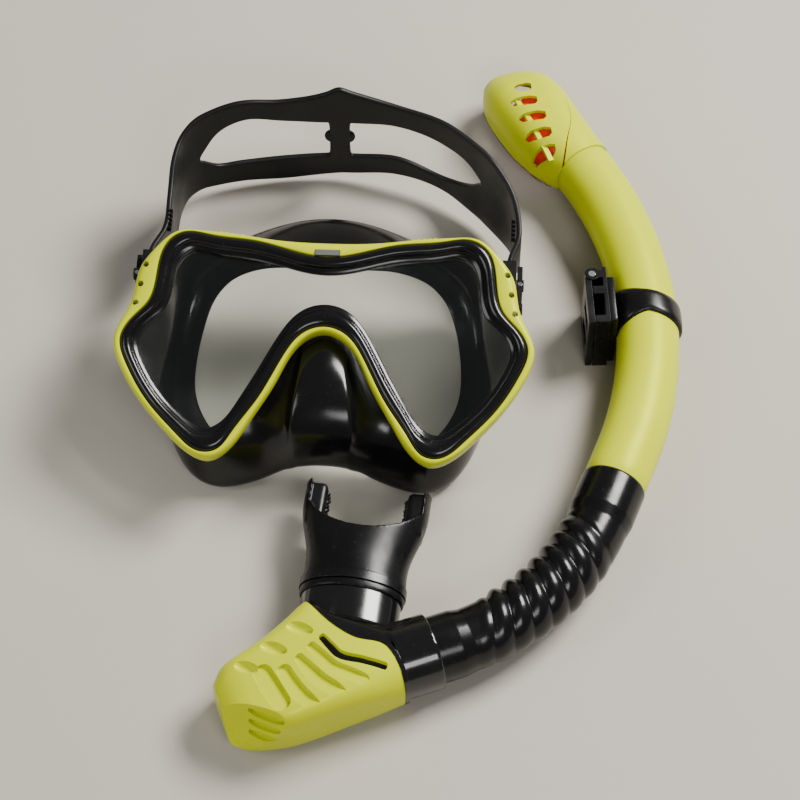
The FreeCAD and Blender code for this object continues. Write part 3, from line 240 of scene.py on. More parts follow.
def smooth(obj, sharp=38.0):
    obj.data.shade_smooth()
    obj.data.set_sharp_from_angle(angle=math.radians(sharp))
    return obj


def apply(obj):
    """Makes an object's modifiers permanent."""
    bpy.context.view_layer.update()
    graph = bpy.context.evaluated_depsgraph_get()
    mesh = bpy.data.meshes.new_from_object(obj.evaluated_get(graph))
    obj.modifiers.clear()
    obj.data = mesh
    return obj


def combine(obj, other, operation):
    """A boolean with another object, which is used up."""
    change = obj.modifiers.new("combine", "BOOLEAN")
    change.operation = operation
    change.solver = "EXACT"
    change.object = other
    apply(obj)
    bpy.data.objects.remove(other)
    return obj


def box(name, low, high, place, bevel=0.0, segments=3):
    """A block between two corners, with rounded edges."""
    (x0, y0, z0), (x1, y1, z1) = low, high
    corners = [(x, y, z) for z in (z0, z1) for x, y in ((x0, y0), (x1, y0), (x1, y1), (x0, y1))]
    faces = [(3, 2, 1, 0), (4, 5, 6, 7), (0, 1, 5, 4), (1, 2, 6, 5), (2, 3, 7, 6), (3, 0, 4, 7)]
    obj = new_object(name, corners, faces, place)
    if bevel:
        rounding = obj.modifiers.new("round", "BEVEL")
        rounding.width = bevel * MM
        rounding.segments = segments
        rounding.limit_method = "NONE"
        apply(obj)
    return obj


def prism(name, outline, z0, z1, place):
    """A straight-sided block over an outline."""
    count = len(outline)
    points = [(x, y, z0) for x, y in outline] + [(x, y, z1) for x, y in outline]
    faces = [tuple(reversed(range(count))), tuple(range(count, 2 * count))]
    faces += [(k, (k + 1) % count, count + (k + 1) % count, count + k) for k in range(count)]
    obj = new_object(name, points, faces, place)
    outward(obj)
    return obj


def melt(node, name, voxel, rounds):
    """A moulded copy of a frame node: the same form with every edge slightly rounded."""
    obj = bpy.data.objects.new(name, NODES[node].data.copy())
    bpy.context.scene.collection.objects.link(obj)
    weld = obj.modifiers.new("weld", "WELD")
    weld.merge_threshold = 0.00001
    remesh = obj.modifiers.new("remesh", "REMESH")
    remesh.mode = "VOXEL"
    remesh.voxel_size = voxel * MM
    relax = obj.modifiers.new("relax", "SMOOTH")
    relax.factor = 0.5
    relax.iterations = rounds
    apply(obj)
    obj.data.materials.clear()
    return smooth(obj, 60)


def join(obj, other):
    """Adds another object's mesh to this one."""
    mesh = bmesh.new()
    mesh.from_mesh(obj.data)
    mesh.from_mesh(other.data)
    mesh.to_mesh(obj.data)
    mesh.free()
    bpy.data.objects.remove(other)


def ellipsoid(name, radii, place, rings=14, count=28):
    rows = []
    for k in range(1, rings):
        angle = math.pi * k / rings
        wide, high = math.sin(angle), math.cos(angle)
        rows.append([(radii[0] * wide * math.cos(a), radii[1] * wide * math.sin(a), radii[2] * high)
                     for a in np.linspace(0, 2 * math.pi, count, endpoint=False)])
    return skin(name, rows, place)


def ring_path(centres, directions, radii, count):
    """Circles across a path on the floor's plane, as rows of points."""
    rows = []
    for centre, direction, radius in zip(centres, directions, radii):
        across = Vector((-direction.y, direction.x, 0))
        rows.append([
            centre + (across * math.cos(a) + Vector((0, 0, 1)) * math.sin(a)) * radius
            for a in np.linspace(0, 2 * math.pi, count, endpoint=False)
        ])
    return [[tuple(p) for p in row] for row in rows]


def rod(name, radius, start, finish, place, count):
    """A straight round rod along X."""
    ends = [Vector((start, 0, 0)), Vector((finish, 0, 0))]
    return skin(name, ring_path(ends, [Vector((1, 0, 0))] * 2, [radius] * 2, count), place)


# ---------------------------------------------------------------- materials
MATERIALS = {}


def link(tree, source, target):
    tree.links.new(source, target)


def texture_place(tree):
    return tree.nodes.new("ShaderNodeTexCoord").outputs["Object"]


def noise(tree, place, scale, detail=4.0):
    node = tree.nodes.new("ShaderNodeTexNoise")
    node.inputs["Scale"].default_value = scale
    node.inputs["Detail"].default_value = detail
    node.inputs["Roughness"].default_value = 0.55
    link(tree, place, node.inputs["Vector"])
    return node.outputs["Fac"]


def ramp(tree, value, low, high):
    """Maps a noise value onto a range."""
    node = tree.nodes.new("ShaderNodeMapRange")
    node.inputs["From Min"].default_value = 0.3
    node.inputs["From Max"].default_value = 0.7
    node.inputs["To Min"].default_value = low
    node.inputs["To Max"].default_value = high
    link(tree, value, node.inputs["Value"])
    return node.outputs["Result"]


def mix_colour(tree, share, first, second):
    node = tree.nodes.new("ShaderNodeMix")
    node.data_type = "RGBA"
    node.inputs["A"].default_value = (*first, 1)
    node.inputs["B"].default_value = (*second, 1)
    link(tree, share, node.inputs["Factor"])
    return node.outputs["Result"]


def moulded(name, colour, shade, roughness, spread, grain, depth, edge=0.35, coat=0.0, gloss=0.5,
            sheen=(1.0, 1.0, 1.0), painted_glow=0.0, dust=0.0):
    """Moulded plastic or rubber: mottled colour, uneven gloss, fine grain and soft edges, with an optional painted
    glow that makes it shine as if more light fell on it.
    """
    material = bpy.data.materials.new(name)
    material.use_nodes = True
    tree = material.node_tree
    shader = tree.nodes["Principled BSDF"]
    place = texture_place(tree)
    tint = mix_colour(tree, ramp(tree, noise(tree, place, 38.0), 0, 1), colour, shade)
    if dust:
        specks = tree.nodes.new("ShaderNodeMapRange")
        specks.inputs["From Min"].default_value = 0.66
        specks.inputs["From Max"].default_value = 0.78
        specks.inputs["To Max"].default_value = dust
        link(tree, noise(tree, place, 700.0, 2.0), specks.inputs["Value"])
        cover = tree.nodes.new("ShaderNodeMix")
        cover.data_type = "RGBA"
        cover.inputs["B"].default_value = (0.35, 0.34, 0.32, 1)
        link(tree, tint, cover.inputs["A"])
        link(tree, specks.outputs["Result"], cover.inputs["Factor"])
        tint = cover.outputs["Result"]
    link(tree, tint, shader.inputs["Base Color"])
    uneven = ramp(tree, noise(tree, place, 95.0, 5.0), roughness - spread, roughness + spread)
    link(tree, uneven, shader.inputs["Roughness"])
    edges = tree.nodes.new("ShaderNodeBevel")
    edges.samples = 6
    edges.inputs["Radius"].default_value = edge * MM
    bump = tree.nodes.new("ShaderNodeBump")
    bump.inputs["Strength"].default_value = depth
    bump.inputs["Distance"].default_value = 0.0002
    link(tree, noise(tree, place, grain, 3.0), bump.inputs["Height"])
    link(tree, edges.outputs["Normal"], bump.inputs["Normal"])
    link(tree, bump.outputs["Normal"], shader.inputs["Normal"])
    shader.inputs["Coat Weight"].default_value = coat
    shader.inputs["Coat Roughness"].default_value = 0.08
    shader.inputs["Specular IOR Level"].default_value = gloss
    shader.inputs["Specular Tint"].default_value = (*sheen, 1)
    # The emission is a painted glow: light of the material's own colour that it gives off, though it is no lamp.
    shader.inputs["Emission Color"].default_value = (*colour, 1)
    shader.inputs["Emission Strength"].default_value = painted_glow
    MATERIALS[name] = material
    return material


def clear_glass(name, tint, roughness, grain, depth):
    """Clear glass or plastic that lets lamps through, with faint unevenness in its surface."""
    material = bpy.data.materials.new(name)
    material.use_nodes = True
    tree = material.node_tree
    shader = tree.nodes["Principled BSDF"]
    shader.inputs["Base Color"].default_value = (*tint, 1)
    shader.inputs["Transmission Weight"].default_value = 1.0
    shader.inputs["IOR"].default_value = 1.46
    place = texture_place(tree)
    link(tree, ramp(tree, noise(tree, place, 60.0), roughness, roughness + 0.03),
         shader.inputs["Roughness"])
    bump = tree.nodes.new("ShaderNodeBump")
    bump.inputs["Strength"].default_value = depth
    bump.inputs["Distance"].default_value = 0.0001
    link(tree, noise(tree, place, grain, 2.0), bump.inputs["Height"])
    link(tree, bump.outputs["Normal"], shader.inputs["Normal"])
    through = tree.nodes.new("ShaderNodeBsdfTransparent")
    through.inputs["Color"].default_value = (*[0.9 * c for c in tint], 1)
    path = tree.nodes.new("ShaderNodeLightPath")
    mixer = tree.nodes.new("ShaderNodeMixShader")
    link(tree, path.outputs["Is Shadow Ray"], mixer.inputs["Fac"])
    link(tree, shader.outputs["BSDF"], mixer.inputs[1])
    link(tree, through.outputs["BSDF"], mixer.inputs[2])
    link(tree, mixer.outputs["Shader"], tree.nodes["Material Output"].inputs["Surface"])
    MATERIALS[name] = material


def turned_steel(name):
    material = moulded(name, (0.55, 0.55, 0.57), (0.68, 0.68, 0.7), 0.26, 0.07, 900.0, 0.12, edge=0.1)
    material.node_tree.nodes["Principled BSDF"].inputs["Metallic"].default_value = 1.0


LEMON = (0.60, 0.655, 0.0)
LEMON_SHADE = (0.565, 0.62, 0.0)
LEMON_SHEEN = (1.0, 1.0, 0.05)
BLACK = (0.0035, 0.0035, 0.004)
BLACK_SHADE = (0.005, 0.005, 0.0055)
STRAP_BLACK = (0.005, 0.005, 0.0055)
STRAP_SHADE = (0.007, 0.007, 0.0075)


def lemon(name, roughness, grain, depth):
    """The set's yellow plastic."""
    moulded(name, LEMON, LEMON_SHADE, roughness, 0.05, grain, depth, sheen=LEMON_SHEEN)


def black(name, *finish, **more):
    """The set's black plastic and rubber, with faint dust."""
    moulded(name, BLACK, BLACK_SHADE, *finish, dust=0.05, **more)


black("ring_black", 0.2, 0.05, 1500.0, 0.05, coat=0.15, gloss=0.32)
lemon("bezel_yellow", 0.33, 2200.0, 0.06)
moulded("tab_grey", (0.11, 0.11, 0.105), (0.14, 0.14, 0.135), 0.4, 0.06, 1800.0, 0.1)
clear_glass("lens_glass", (0.93, 0.96, 0.94), 0.0, 40.0, 0.02)
black("skirt_silicone", 0.2, 0.06, 1300.0, 0.07, edge=0.2, gloss=0.35)
moulded("strap_silicone", STRAP_BLACK, STRAP_SHADE, 0.4, 0.06, 1900.0, 0.1, edge=0.2, gloss=0.22,
        dust=0.05)
black("buckle_black", 0.34, 0.06, 2400.0, 0.16, gloss=0.3)
turned_steel("pin_steel")
lemon("barrel_yellow", 0.4, 2600.0, 0.08)
black("hose_black", 0.22, 0.06, 1400.0, 0.08, edge=0.2, gloss=0.33)
black("keeper_black", 0.27, 0.07, 2300.0, 0.12, gloss=0.36)
lemon("top_yellow", 0.36, 2400.0, 0.08)
clear_glass("top_clear", (0.85, 0.86, 0.80), 0.06, 90.0, 0.05)
# The float has a painted glow that brightens its orange, as if more light fell on it.
moulded("float_orange", (0.9, 0.05, 0.002), (0.84, 0.04, 0.002), 0.3, 0.05, 1800.0, 0.07, gloss=0.3,
        painted_glow=0.12)
moulded("seal_silicone", (0.62, 0.60, 0.55), (0.55, 0.53, 0.48), 0.35, 0.05, 1500.0, 0.08)
lemon("cover_yellow", 0.3, 2400.0, 0.07)
black("chamber_black", 0.15, 0.05, 1600.0, 0.05, coat=0.4)
black("mouth_silicone", 0.3, 0.06, 1500.0, 0.09, edge=0.2, gloss=0.25)


def finish_piece(obj, body, slot, *replaced):
    """Gives a piece its material and its place in the frame."""
    obj.data.materials.clear()
    obj.data.materials.append(MATERIALS[slot])
    if body:
        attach(obj, body)
    if replaced:
        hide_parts(*replaced)
    return obj


def finish_nodes():
    """Every frame node takes its slot's material, in case it still shows."""
    for part in frame["record"]["subparts"]:
        node = NODES[part["node"]]
        node.data.materials.clear()
        node.data.materials.append(MATERIALS[part["material_slot"]])
        smooth(node, 32)


finish_nodes()

# ---------------------------------------------------------------- mask frame
LENS_OPENING = [
    (0, 29.5), (12, 31), (30, 35.5), (50, 38), (58, 38.7), (62, 35.5), (65, 24), (68.5, 12),
    (75, 6), (78.8, -1), (76.5, -10.5), (66, -26.5), (56, -35.5), (49, -38.8), (43, -36.5),
    (36, -27.5), (28, -13.5), (19, 3), (10, 13.5), (0, 16.5),
]
RING_OUTLINE = [
    (0, 37), (12, 38.6), (30, 43), (50, 45.2), (61, 46.2), (68, 42), (72, 30), (75.5, 15),
    (82, 7.5), (86.3, -1), (83.3, -12), (72, -30), (60, -42.5), (50, -49.4), (43, -48.2),
    (37.4, -41.2), (26.4, -25.1), (16.4, -6.1), (8.9, 3.2), (0, 6.1),
]
BEZEL_OUTLINE = [
    (0, 43.4), (20, 44), (38, 46), (55, 47.5), (64.5, 46.7), (73, 39.5), (79.5, 30.5), (82.3, 17),
    (86.5, 7), (89.2, -1), (86.3, -12.5), (77, -27.5), (65, -41), (55, -49.5), (46.5, -52.2),
    (39, -48), (30, -35), (20, -18), (10, -0.8), (0, 4.0),
]
OUTLINE_STEPS = 10
# Each profile runs round the rim's section: share of the way from inner to outer edge, and height.
RING_PROFILE = [
    (0.0, -5.0), (0.0, -4.2), (0.0, -3.8), (0.02, -3.4), (0.07, -3.15), (0.16, -2.95), (0.24, -2.6),
    (0.30, -2.0), (0.35, -1.35), (0.41, -0.75), (0.48, -0.3), (0.56, -0.06), (0.65, 0.0),
    (0.74, -0.08), (0.83, -0.38), (0.91, -0.95), (0.97, -1.8), (1.0, -3.0), (1.0, -4.4),
    (1.0, -5.0), (0.5, -5.0),
]
BEZEL_PROFILE = [
    (0.0, -8.6), (0.0, -4.0), (0.0, -1.7), (0.03, -1.25), (0.1, -1.05), (0.3, -1.0), (0.55, -1.1),
    (0.76, -1.5), (0.9, -2.3), (0.98, -3.4), (1.0, -4.8), (1.0, -7.6), (0.97, -8.3), (0.9, -8.6),
    (0.5, -8.6),
]
WING_HOLES = [(77.0, 31.2), (78.8, 22.6), (80.5, 14.2)]
WING_HOLE_RADIUS = 1.3
RIM_NUBS = 5


def rim(name, inner, outer, profile):
    """A rim between two outlines, with a shaped section."""
    inner = closed_spline(mirrored(inner), OUTLINE_STEPS)
    outer = closed_spline(mirrored(outer), OUTLINE_STEPS)
    rows = []
    for share, height in profile:
        flat = inner * (1 - share) + outer * share
        rows.append(np.column_stack([flat, np.full(len(flat), height)]))
    return skin(name, rows, MASK, closed_rows=True)


def make_retaining_ring():
    ring = rim("retaining_ring", LENS_OPENING, RING_OUTLINE, RING_PROFILE)
    finish_piece(smooth(ring, 50), "mask", "ring_black", "lens_retaining_ring")


ARM_INNER = 71.5
ARM_THICKNESS = 3.0
ARM_LOW = (16, -32)
ARM_HIGH = (28, -4)
ARM_ROUND = 1.2
NOTCH_LOW = (-5.4, 36.4, -3.2)
NOTCH_HIGH = (5.4, 39.9, 2)
RELIEF_ACROSS = (73.6, 88.0)
RELIEF_ALONG = (28.0, 39.0)
RELIEF_TOP = -7.7
NUB_START = (36.5, 45.2)
NUB_STEP = (2.3, 0.25)
NUB_DEPTH = -2.6
NUB_RADII = (0.75, 0.9, 0.75)


def make_bezel():
    """The yellow frame: pierced wings, lock-tab notch, strap arms, and room for the raised buckles."""
    bezel = rim("bezel", RING_OUTLINE, BEZEL_OUTLINE, BEZEL_PROFILE)
    for side in (1, -1):
        near, far = sorted((side * ARM_INNER, side * (ARM_INNER + ARM_THICKNESS)))
        arm = box("arm", (near, *ARM_LOW), (far, *ARM_HIGH), MASK, bevel=ARM_ROUND)
        combine(bezel, arm, "UNION")
        for across, along in WING_HOLES:
            stand = MASK @ at(side * across, along, -12) @ turn(-90, "Y")
            combine(bezel, rod("hole", WING_HOLE_RADIUS, 0, 16, stand, 20), "DIFFERENCE")
        near, far = sorted(side * edge for edge in RELIEF_ACROSS)
        room = box("room", (near, RELIEF_ALONG[0], -12), (far, RELIEF_ALONG[1], RELIEF_TOP), MASK)
        combine(bezel, room, "DIFFERENCE")
    combine(bezel, box("notch", NOTCH_LOW, NOTCH_HIGH, MASK), "DIFFERENCE")
    for side in (1, -1):
        for k in range(RIM_NUBS):
            across, along = (first + step * k for first, step in zip(NUB_START, NUB_STEP))
            stand = MASK @ at(side * across, along, NUB_DEPTH)
            join(bezel, ellipsoid("nub", NUB_RADII, stand, rings=8, count=14))
    finish_piece(smooth(bezel, 40), "mask", "bezel_yellow", "frame_bezel")


make_retaining_ring()
make_bezel()

# ---------------------------------------------------------------- mask skirt
SKIRT_ROWS = [
    ((0, 47, -19), (0, 71.5, -31), (0, 38, -38)),
    ((12, 47.5, -19), (12, 70.3, -32), (11, 40, -39)),
    ((31, 49, -22), (33, 62, -37), (27, 42, -42)),
    ((50, 47, -27), (51, 50, -49), (42, 40, -50)),
    ((59, 44, -29), (61, 44, -55), (49, 34, -55)),
    ((64, 38, -31), (67, 36, -60), (53, 28, -59)),
    ((66, 25, -34), (70, 23, -64), (56, 17, -61)),
    ((67, 13, -36), (71, 10, -63.5), (57.5, 8, -60)),
    ((69, 3, -36), (71.5, -2, -59.5), (58, 0, -57)),
    ((71, -7, -34), (71, -12, -56), (58, -8, -54)),
    ((71, -18, -32), (69.5, -23, -52), (56.5, -16, -51)),
    ((67, -33, -28), (66, -39, -46.4), (52, -26, -46)),
    ((57, -45, -25), (59.5, -57.5, -39.6), (44, -35, -42)),
    ((46, -49, -23), (47, -64, -37.3), (36, -41, -39.5)),
    ((36, -46, -21), (33.5, -61, -37), (28, -42, -37.5)),
    ((27, -40, -19), (21.5, -57.5, -35.8), (20, -39, -36)),
]
# Each nose row starts with its place along the lens opening's points. Two rows lie close together
# at the wedge's edge, which keeps that edge crisp.
NOSE_ROWS = [
    (16.0, (23.5, -17, -14), (20.5, -24, -12.5), (21.5, -38, -13), (16, -55, -34.4), (14, -37, -35)),
    (17.0, (14, -4, -14.5), (11.5, -14, -9.5), (15.6, -38.5, -7), (13, -55, -34.4), (12, -37, -35)),
    (17.8, (11, 0, -14.5), (7.5, -8, -4.8), (14.4, -38.5, -1.6), (10, -54, -34), (9, -36, -34.5)),
    (18.1, (10.3, 0.8, -14.5), (7, -7.5, -4.4), (13.6, -38.7, -1.2), (9, -53.8, -33.9),
     (8, -36, -34.5)),
    (18.6, (5, 6, -15), (3.5, -4, -3.6), (6, -39, -0.4), (4, -53, -33.4), (4, -35.5, -34)),
    (19.0, (0, 7, -15), (0, -3, -3.2), (0, -39, 0), (0, -53, -33.4), (0, -35.5, -34)),
]
SEAT_OFFSET = 2.6
SEAT_DEPTH = 10.3
SHOULDER_DEPTH = 14.0
RIM_REACH = 2.8
SKIRT_WALL = 2.0


def skirt_rows():
    """Six points on each row: seat, shoulder, upper wall, wall, rim and seal edge."""
    opening = np.array(mirrored(LENS_OPENING), float)
    run = np.roll(opening, -1, 0) - np.roll(opening, 1, 0)
    run /= np.linalg.norm(run, axis=1)[:, None]
    seats = opening + SEAT_OFFSET * np.column_stack([-run[:, 1], run[:, 0]])
    rows = []
    for k, (wall, edge, seal) in enumerate(SKIRT_ROWS):
        shoulder = (*seats[k], -SHOULDER_DEPTH)
        upper = tuple((a + b) / 2 for a, b in zip(shoulder, wall))
        rows.append([(*seats[k], -SEAT_DEPTH), shoulder, upper, wall,
                     (edge[0], edge[1], edge[2] - RIM_REACH), seal])
    for place, *nose in NOSE_ROWS:
        whole = int(place)
        seat = seats[whole] * (whole + 1 - place) + seats[whole + 1] * (place - whole)
        rows.append([(*seat, -SEAT_DEPTH), *nose])
    left = [[(-u, v, n) for u, v, n in row] for row in reversed(rows[1:-1])]
    return np.array(rows + left, float)


def make_skirt():
    rows = skirt_rows()
    along = np.gradient(rows, axis=1)
    around = np.roll(rows, -1, 0) - np.roll(rows, 1, 0)
    normal = np.cross(along, around)
    normal *= SKIRT_WALL / 2 / np.linalg.norm(normal, axis=2)[:, :, None]
    section = np.concatenate([rows + normal, (rows - normal)[:, ::-1]], axis=1)
    surface = cubic(cubic(section, 6, 0), 6, 1)
    skirt = skin("silicone_skirt", surface, MASK, closed_rows=True)
    finish_piece(smooth(skirt, 60), "mask", "skirt_silicone", "mask_skirt")


make_skirt()

# ---------------------------------------------------------------- head strap
STRAP_LINE = [
    # x, y, bottom, top, opening bottom, opening top
    (-78, 16, 31.5, 49, 0, 0),
    (-78, 20, 31.5, 49, 0, 0),
    (-73, 36, 23, 47, 0, 0),
    (-72.5, 54, 13, 48, 0, 0),
    (-71.5, 70, 11, 53, 0, 0),
    (-69, 79, 9.5, 55, 0, 0),
    (-63, 87, 7, 57.5, 27, 31),
    (-56, 90.5, 5.8, 59.5, 20.5, 42),
    (-45, 94, 5, 61.5, 19, 48.5),
    (-25, 98, 3, 59, 18.5, 45),
    (-5.5, 100.2, 4.5, 62.5, 18.5, 42),
    (0, 100.5, 5, 65.5, 18.5, 42),
    (5.5, 100.2, 5.5, 63.5, 18.5, 42),
    (26, 97.5, 9, 58, 21, 44),
    (49, 88.5, 8.5, 57.5, 18, 42),
    (60, 80, 6.5, 56.5, 25, 39.5),
    (65, 75.5, 5.8, 56, 31.5, 34.5),
    (69, 71, 5.5, 55.5, 0, 0),
    (78.5, 57, 8, 50.5, 0, 0),
    (82, 38, 20, 46, 0, 0),
    (78, 20, 31.5, 49, 0, 0),
    (78, 16, 31.5, 49, 0, 0),
]
STRAP_THICKNESS = 2.4
STRAP_STEPS = 6
BRIDGE_HALF = 5.0
BULGE_ACROSS = 3.6
BULGE_ALONG = 100.4
BULGE_HEIGHT = 31.5
BULGE_RADII = (3.4, 1.25, 4.4)
STRAP_TEETH = 5
TOOTH_LINES = (-71.3, 79.3)
TOOTH_LOW = (-0.9, -0.4, -2.6)
TOOTH_HIGH = (0.9, 0.4, 0.7)
EDGE_STEP = 1.3


def strap_heights(row):
    """Heights up the band at one place: the lower rail, the opening's edges and the upper rail."""
    bottom, top, low, high = row[2:]
    low = min(max(low, bottom + 2 * EDGE_STEP + 1), top - 2 * EDGE_STEP - 2)
    high = min(max(high, low + 0.4), top - 2 * EDGE_STEP - 1)
    return [bottom, bottom + EDGE_STEP, (bottom + low) / 2, low - EDGE_STEP, low,
            high, high + EDGE_STEP, (high + top) / 2, top - EDGE_STEP, top]


def make_strap():
    """A split silicone band: two rails that meet at each buckle, joined by a bridge behind."""
    table = np.array(STRAP_LINE, float)
    shut = table[:, 5] == 0
    places = np.arange(len(table))
    for column in (4, 5):
        share = (table[~shut, column] - table[~shut, 2]) / (table[~shut, 3] - table[~shut, 2])
        between = np.interp(places[shut], places[~shut], share)
        table[shut, column] = table[shut, 2] + between * (table[shut, 3] - table[shut, 2])
    middle = (table[shut, 4] + table[shut, 5]) / 2
    table[shut, 4] = middle - 0.4
    table[shut, 5] = middle + 0.4
    first, last = places[~shut][0], places[~shut][-1]
    line = open_spline(table, STRAP_STEPS)
    rows = np.array([[(row[0], row[1], h) for h in strap_heights(row)] for row in line])
    count, across = rows.shape[:2]
    hole = across // 2 - 1
    faces = []
    for i in range(count - 1):
        centre = (line[i, 0] + line[i + 1, 0]) / 2
        in_opening = first * STRAP_STEPS <= i < last * STRAP_STEPS and abs(centre) > BRIDGE_HALF
        for j in range(across - 1):
            if not (j == hole and in_opening):
                a = i * across + j
                faces.append((a, a + across, a + across + 1, a + 1))
    band = new_object("strap_band", rows.reshape(-1, 3), faces, STRAP)
    thick = band.modifiers.new("thick", "SOLIDIFY")
    thick.thickness = STRAP_THICKNESS * MM
    thick.offset = 0
    soft = band.modifiers.new("soft", "SUBSURF")
    soft.levels = 2
    apply(band)
    outward(band)
    # The bridge has a round bulge on each side of its middle.
    for side in (-1, 1):
        place = STRAP @ at(side * BULGE_ACROSS, BULGE_ALONG, BULGE_HEIGHT)
        combine(band, ellipsoid("bulge", BULGE_RADII, place), "UNION")
    for tooth_line in TOOTH_LINES:
        for k in range(STRAP_TEETH):
            stand = STRAP @ at(tooth_line, 35 + 2.2 * k, 46.2 + 0.2 * k)
            join(band, box("tooth", TOOTH_LOW, TOOTH_HIGH, stand, bevel=0.3, segments=2))
    finish_piece(smooth(band, 55), "strap", "strap_silicone", "head_strap")


make_strap()

# ---------------------------------------------------------------- barrel, hose and keeper
CIRCLE = 96


def hose_line(step=0.5):
    """Points and directions along the hose from its upper cuff to its lower end."""
    points = []
    arc = math.radians(HOSE_SWEEP) * HOSE_BEND
    low_run = HOSE_TAIL + HOSE_SOCKET
    total = HOSE_LEAD + arc + low_run
    for s in np.linspace(0, total, int(total / step) + 1):
        if s <= HOSE_LEAD:
            place, angle = hose_start + polar(s, run_angle), run_angle
        elif s <= HOSE_LEAD + arc:
            at_angle = BARREL_START - math.degrees((s - HOSE_LEAD) / HOSE_BEND)
            place, angle = bend_centre + polar(HOSE_BEND, at_angle), at_angle - 90
        else:
            place = bend_end + polar(s - HOSE_LEAD - arc, chamber_angle)
            angle = chamber_angle
        points.append((s, place + Vector((0, 0, AXIS)), polar(1, angle)))
    return points, total


def make_barrel():
    points = []
    tail = list(np.linspace(BARREL_TAIL, 0, 8, endpoint=False))
    for s in tail:
        points.append((barrel_end + polar(s, run_angle), polar(-1, run_angle)))
    for k in range(121):
        angle = BARREL_START + BARREL_SWEEP * k / 120
        points.append((polar(BARREL_BEND, angle), polar(1, angle + 90)))
    centres = [p + Vector((0, 0, AXIS)) for p, _ in points]
    directions = [d for _, d in points]
    outer = [BARREL_RADIUS] * len(points)
    # Both rims are rounded off a little.
    for k, less in enumerate((0.7, 0.25, 0.05)):
        outer[k] -= less
        outer[-1 - k] -= less * 0.8
    rows = ring_path(centres, directions, outer, CIRCLE)
    rows += reversed(ring_path(centres, directions, [BARREL_BORE] * len(points), CIRCLE))
    barrel = skin("barrel", rows, SNORKEL, closed_rows=True)
    finish_piece(smooth(barrel, 50), "snorkel_upper", "barrel_yellow", "snorkel_barrel")


RIB_TILT = 20.0
RIB_PITCH = 8.6
RIB_START = 30.0
RIB_COUNT = 8
RIB_HEIGHT = 2.7
RIB_FATNESS = 0.42
# The ribs' height round the hose, as a share: its mean, and how much it swings from outside to inside.
RIB_MEAN = 0.66
RIB_SWING = 0.34
RIB_FADE = 0.35
CUFF_RADIUS = 14.2
CUFF_FADE = 5.0
CUFF_LIP = 1.2
HOSE_RADIUS = 13.3
HOSE_BORE = 11.9


def make_hose():
    """Smooth cuffs, and fat slanted ribs that fade in and out and are lower outside the bend."""
    line, total = hose_line(0.45)
    slope = math.tan(math.radians(RIB_TILT))
    rows = []
    for s, centre, direction in line:
        across = Vector((-direction.y, direction.x, 0))
        ring = []
        for a in np.linspace(0, 2 * math.pi, CIRCLE, endpoint=False):
            slanted = s - slope * HOSE_RADIUS * math.cos(a)
            phase = (slanted - RIB_START) / RIB_PITCH
            inside = min(max(phase + RIB_FADE, 0), max(RIB_COUNT - phase - RIB_FADE, 0), 1)
            wave = (0.5 - 0.5 * math.cos(2 * math.pi * phase)) ** RIB_FATNESS
            from_top = max((s - HOSE_LEAD + 2) / CUFF_FADE, 0)
            from_end = max((total - HOSE_TAIL - HOSE_SOCKET - s) / CUFF_FADE, 0)
            cuff = min(from_top, from_end, 1)
            base = CUFF_RADIUS + (HOSE_RADIUS - CUFF_RADIUS) * cuff
            height = RIB_HEIGHT * (RIB_MEAN - RIB_SWING * math.cos(a))
            radius = base + height * inside * (wave - 0.45)
            if s < CUFF_LIP:
                radius -= 0.5 * (1 - s / CUFF_LIP) ** 2
            ring.append(centre + (across * math.cos(a) + Vector((0, 0, 1)) * math.sin(a)) * radius)
        rows.append([tuple(p) for p in ring])
    inner = ring_path([c for _, c, _ in line], [d for _, _, d in line], [HOSE_BORE] * len(line), CIRCLE)
    hose = skin("ribbed_hose", rows + list(reversed(inner)), SNORKEL, closed_rows=True)
    finish_piece(smooth(hose, 60), None, "hose_black", "flex_hose")
    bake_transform(hose)


KEEPER_ANGLE = 2.6
KEEPER = SNORKEL @ turn(KEEPER_ANGLE)
KEEPER_OUTER = 15.5
KEEPER_BORE = 13.83
BAND_WIDE = 11.3
BAND_NARROW = 5.6
BAND_SLANT = 3.5
PAD_OUT = 17.7
PAD_IN = 14.4
PAD_HALF = 11.4
PAD_BOTTOM = 0.6
PAD_TOP = 33.4


def make_keeper():
    """A rubber band round the barrel: wide at the clip's pad and narrow on the far side."""
    rows = []
    profile = [(-1.0, 0), (-0.96, 0.55), (-0.85, 0.9), (-0.5, 1), (0, 1), (0.5, 1), (0.85, 0.9),
               (0.96, 0.55), (1.0, 0), (0.5, 0), (0, 0), (-0.5, 0)]
    for share, lift in profile:
        row = []
        for a in np.linspace(0, 2 * math.pi, CIRCLE, endpoint=False):
            pad = max(0.0, -math.cos(a)) ** 1.3
            half = BAND_NARROW + (BAND_WIDE - BAND_NARROW) * pad
            along = share * half - BAND_SLANT * max(0.0, math.cos(a))
            radius = KEEPER_BORE + (KEEPER_OUTER - KEEPER_BORE) * lift
            point = polar(BARREL_BEND + radius * math.cos(a), math.degrees(along / BARREL_BEND))
            row.append((point.x, point.y, AXIS + radius * math.sin(a)))
        rows.append(row)
    band = skin("keeper_band", rows, KEEPER, closed_rows=True)
    low = (BARREL_BEND - PAD_OUT, -PAD_HALF, PAD_BOTTOM)
    high = (BARREL_BEND - PAD_IN, PAD_HALF, PAD_TOP)
    combine(band, box("pad", low, high, KEEPER, bevel=0.6), "UNION")
    finish_piece(smooth(band, 45), "keeper", "keeper_black", "keeper_ring")


make_barrel()
make_hose()
make_keeper()

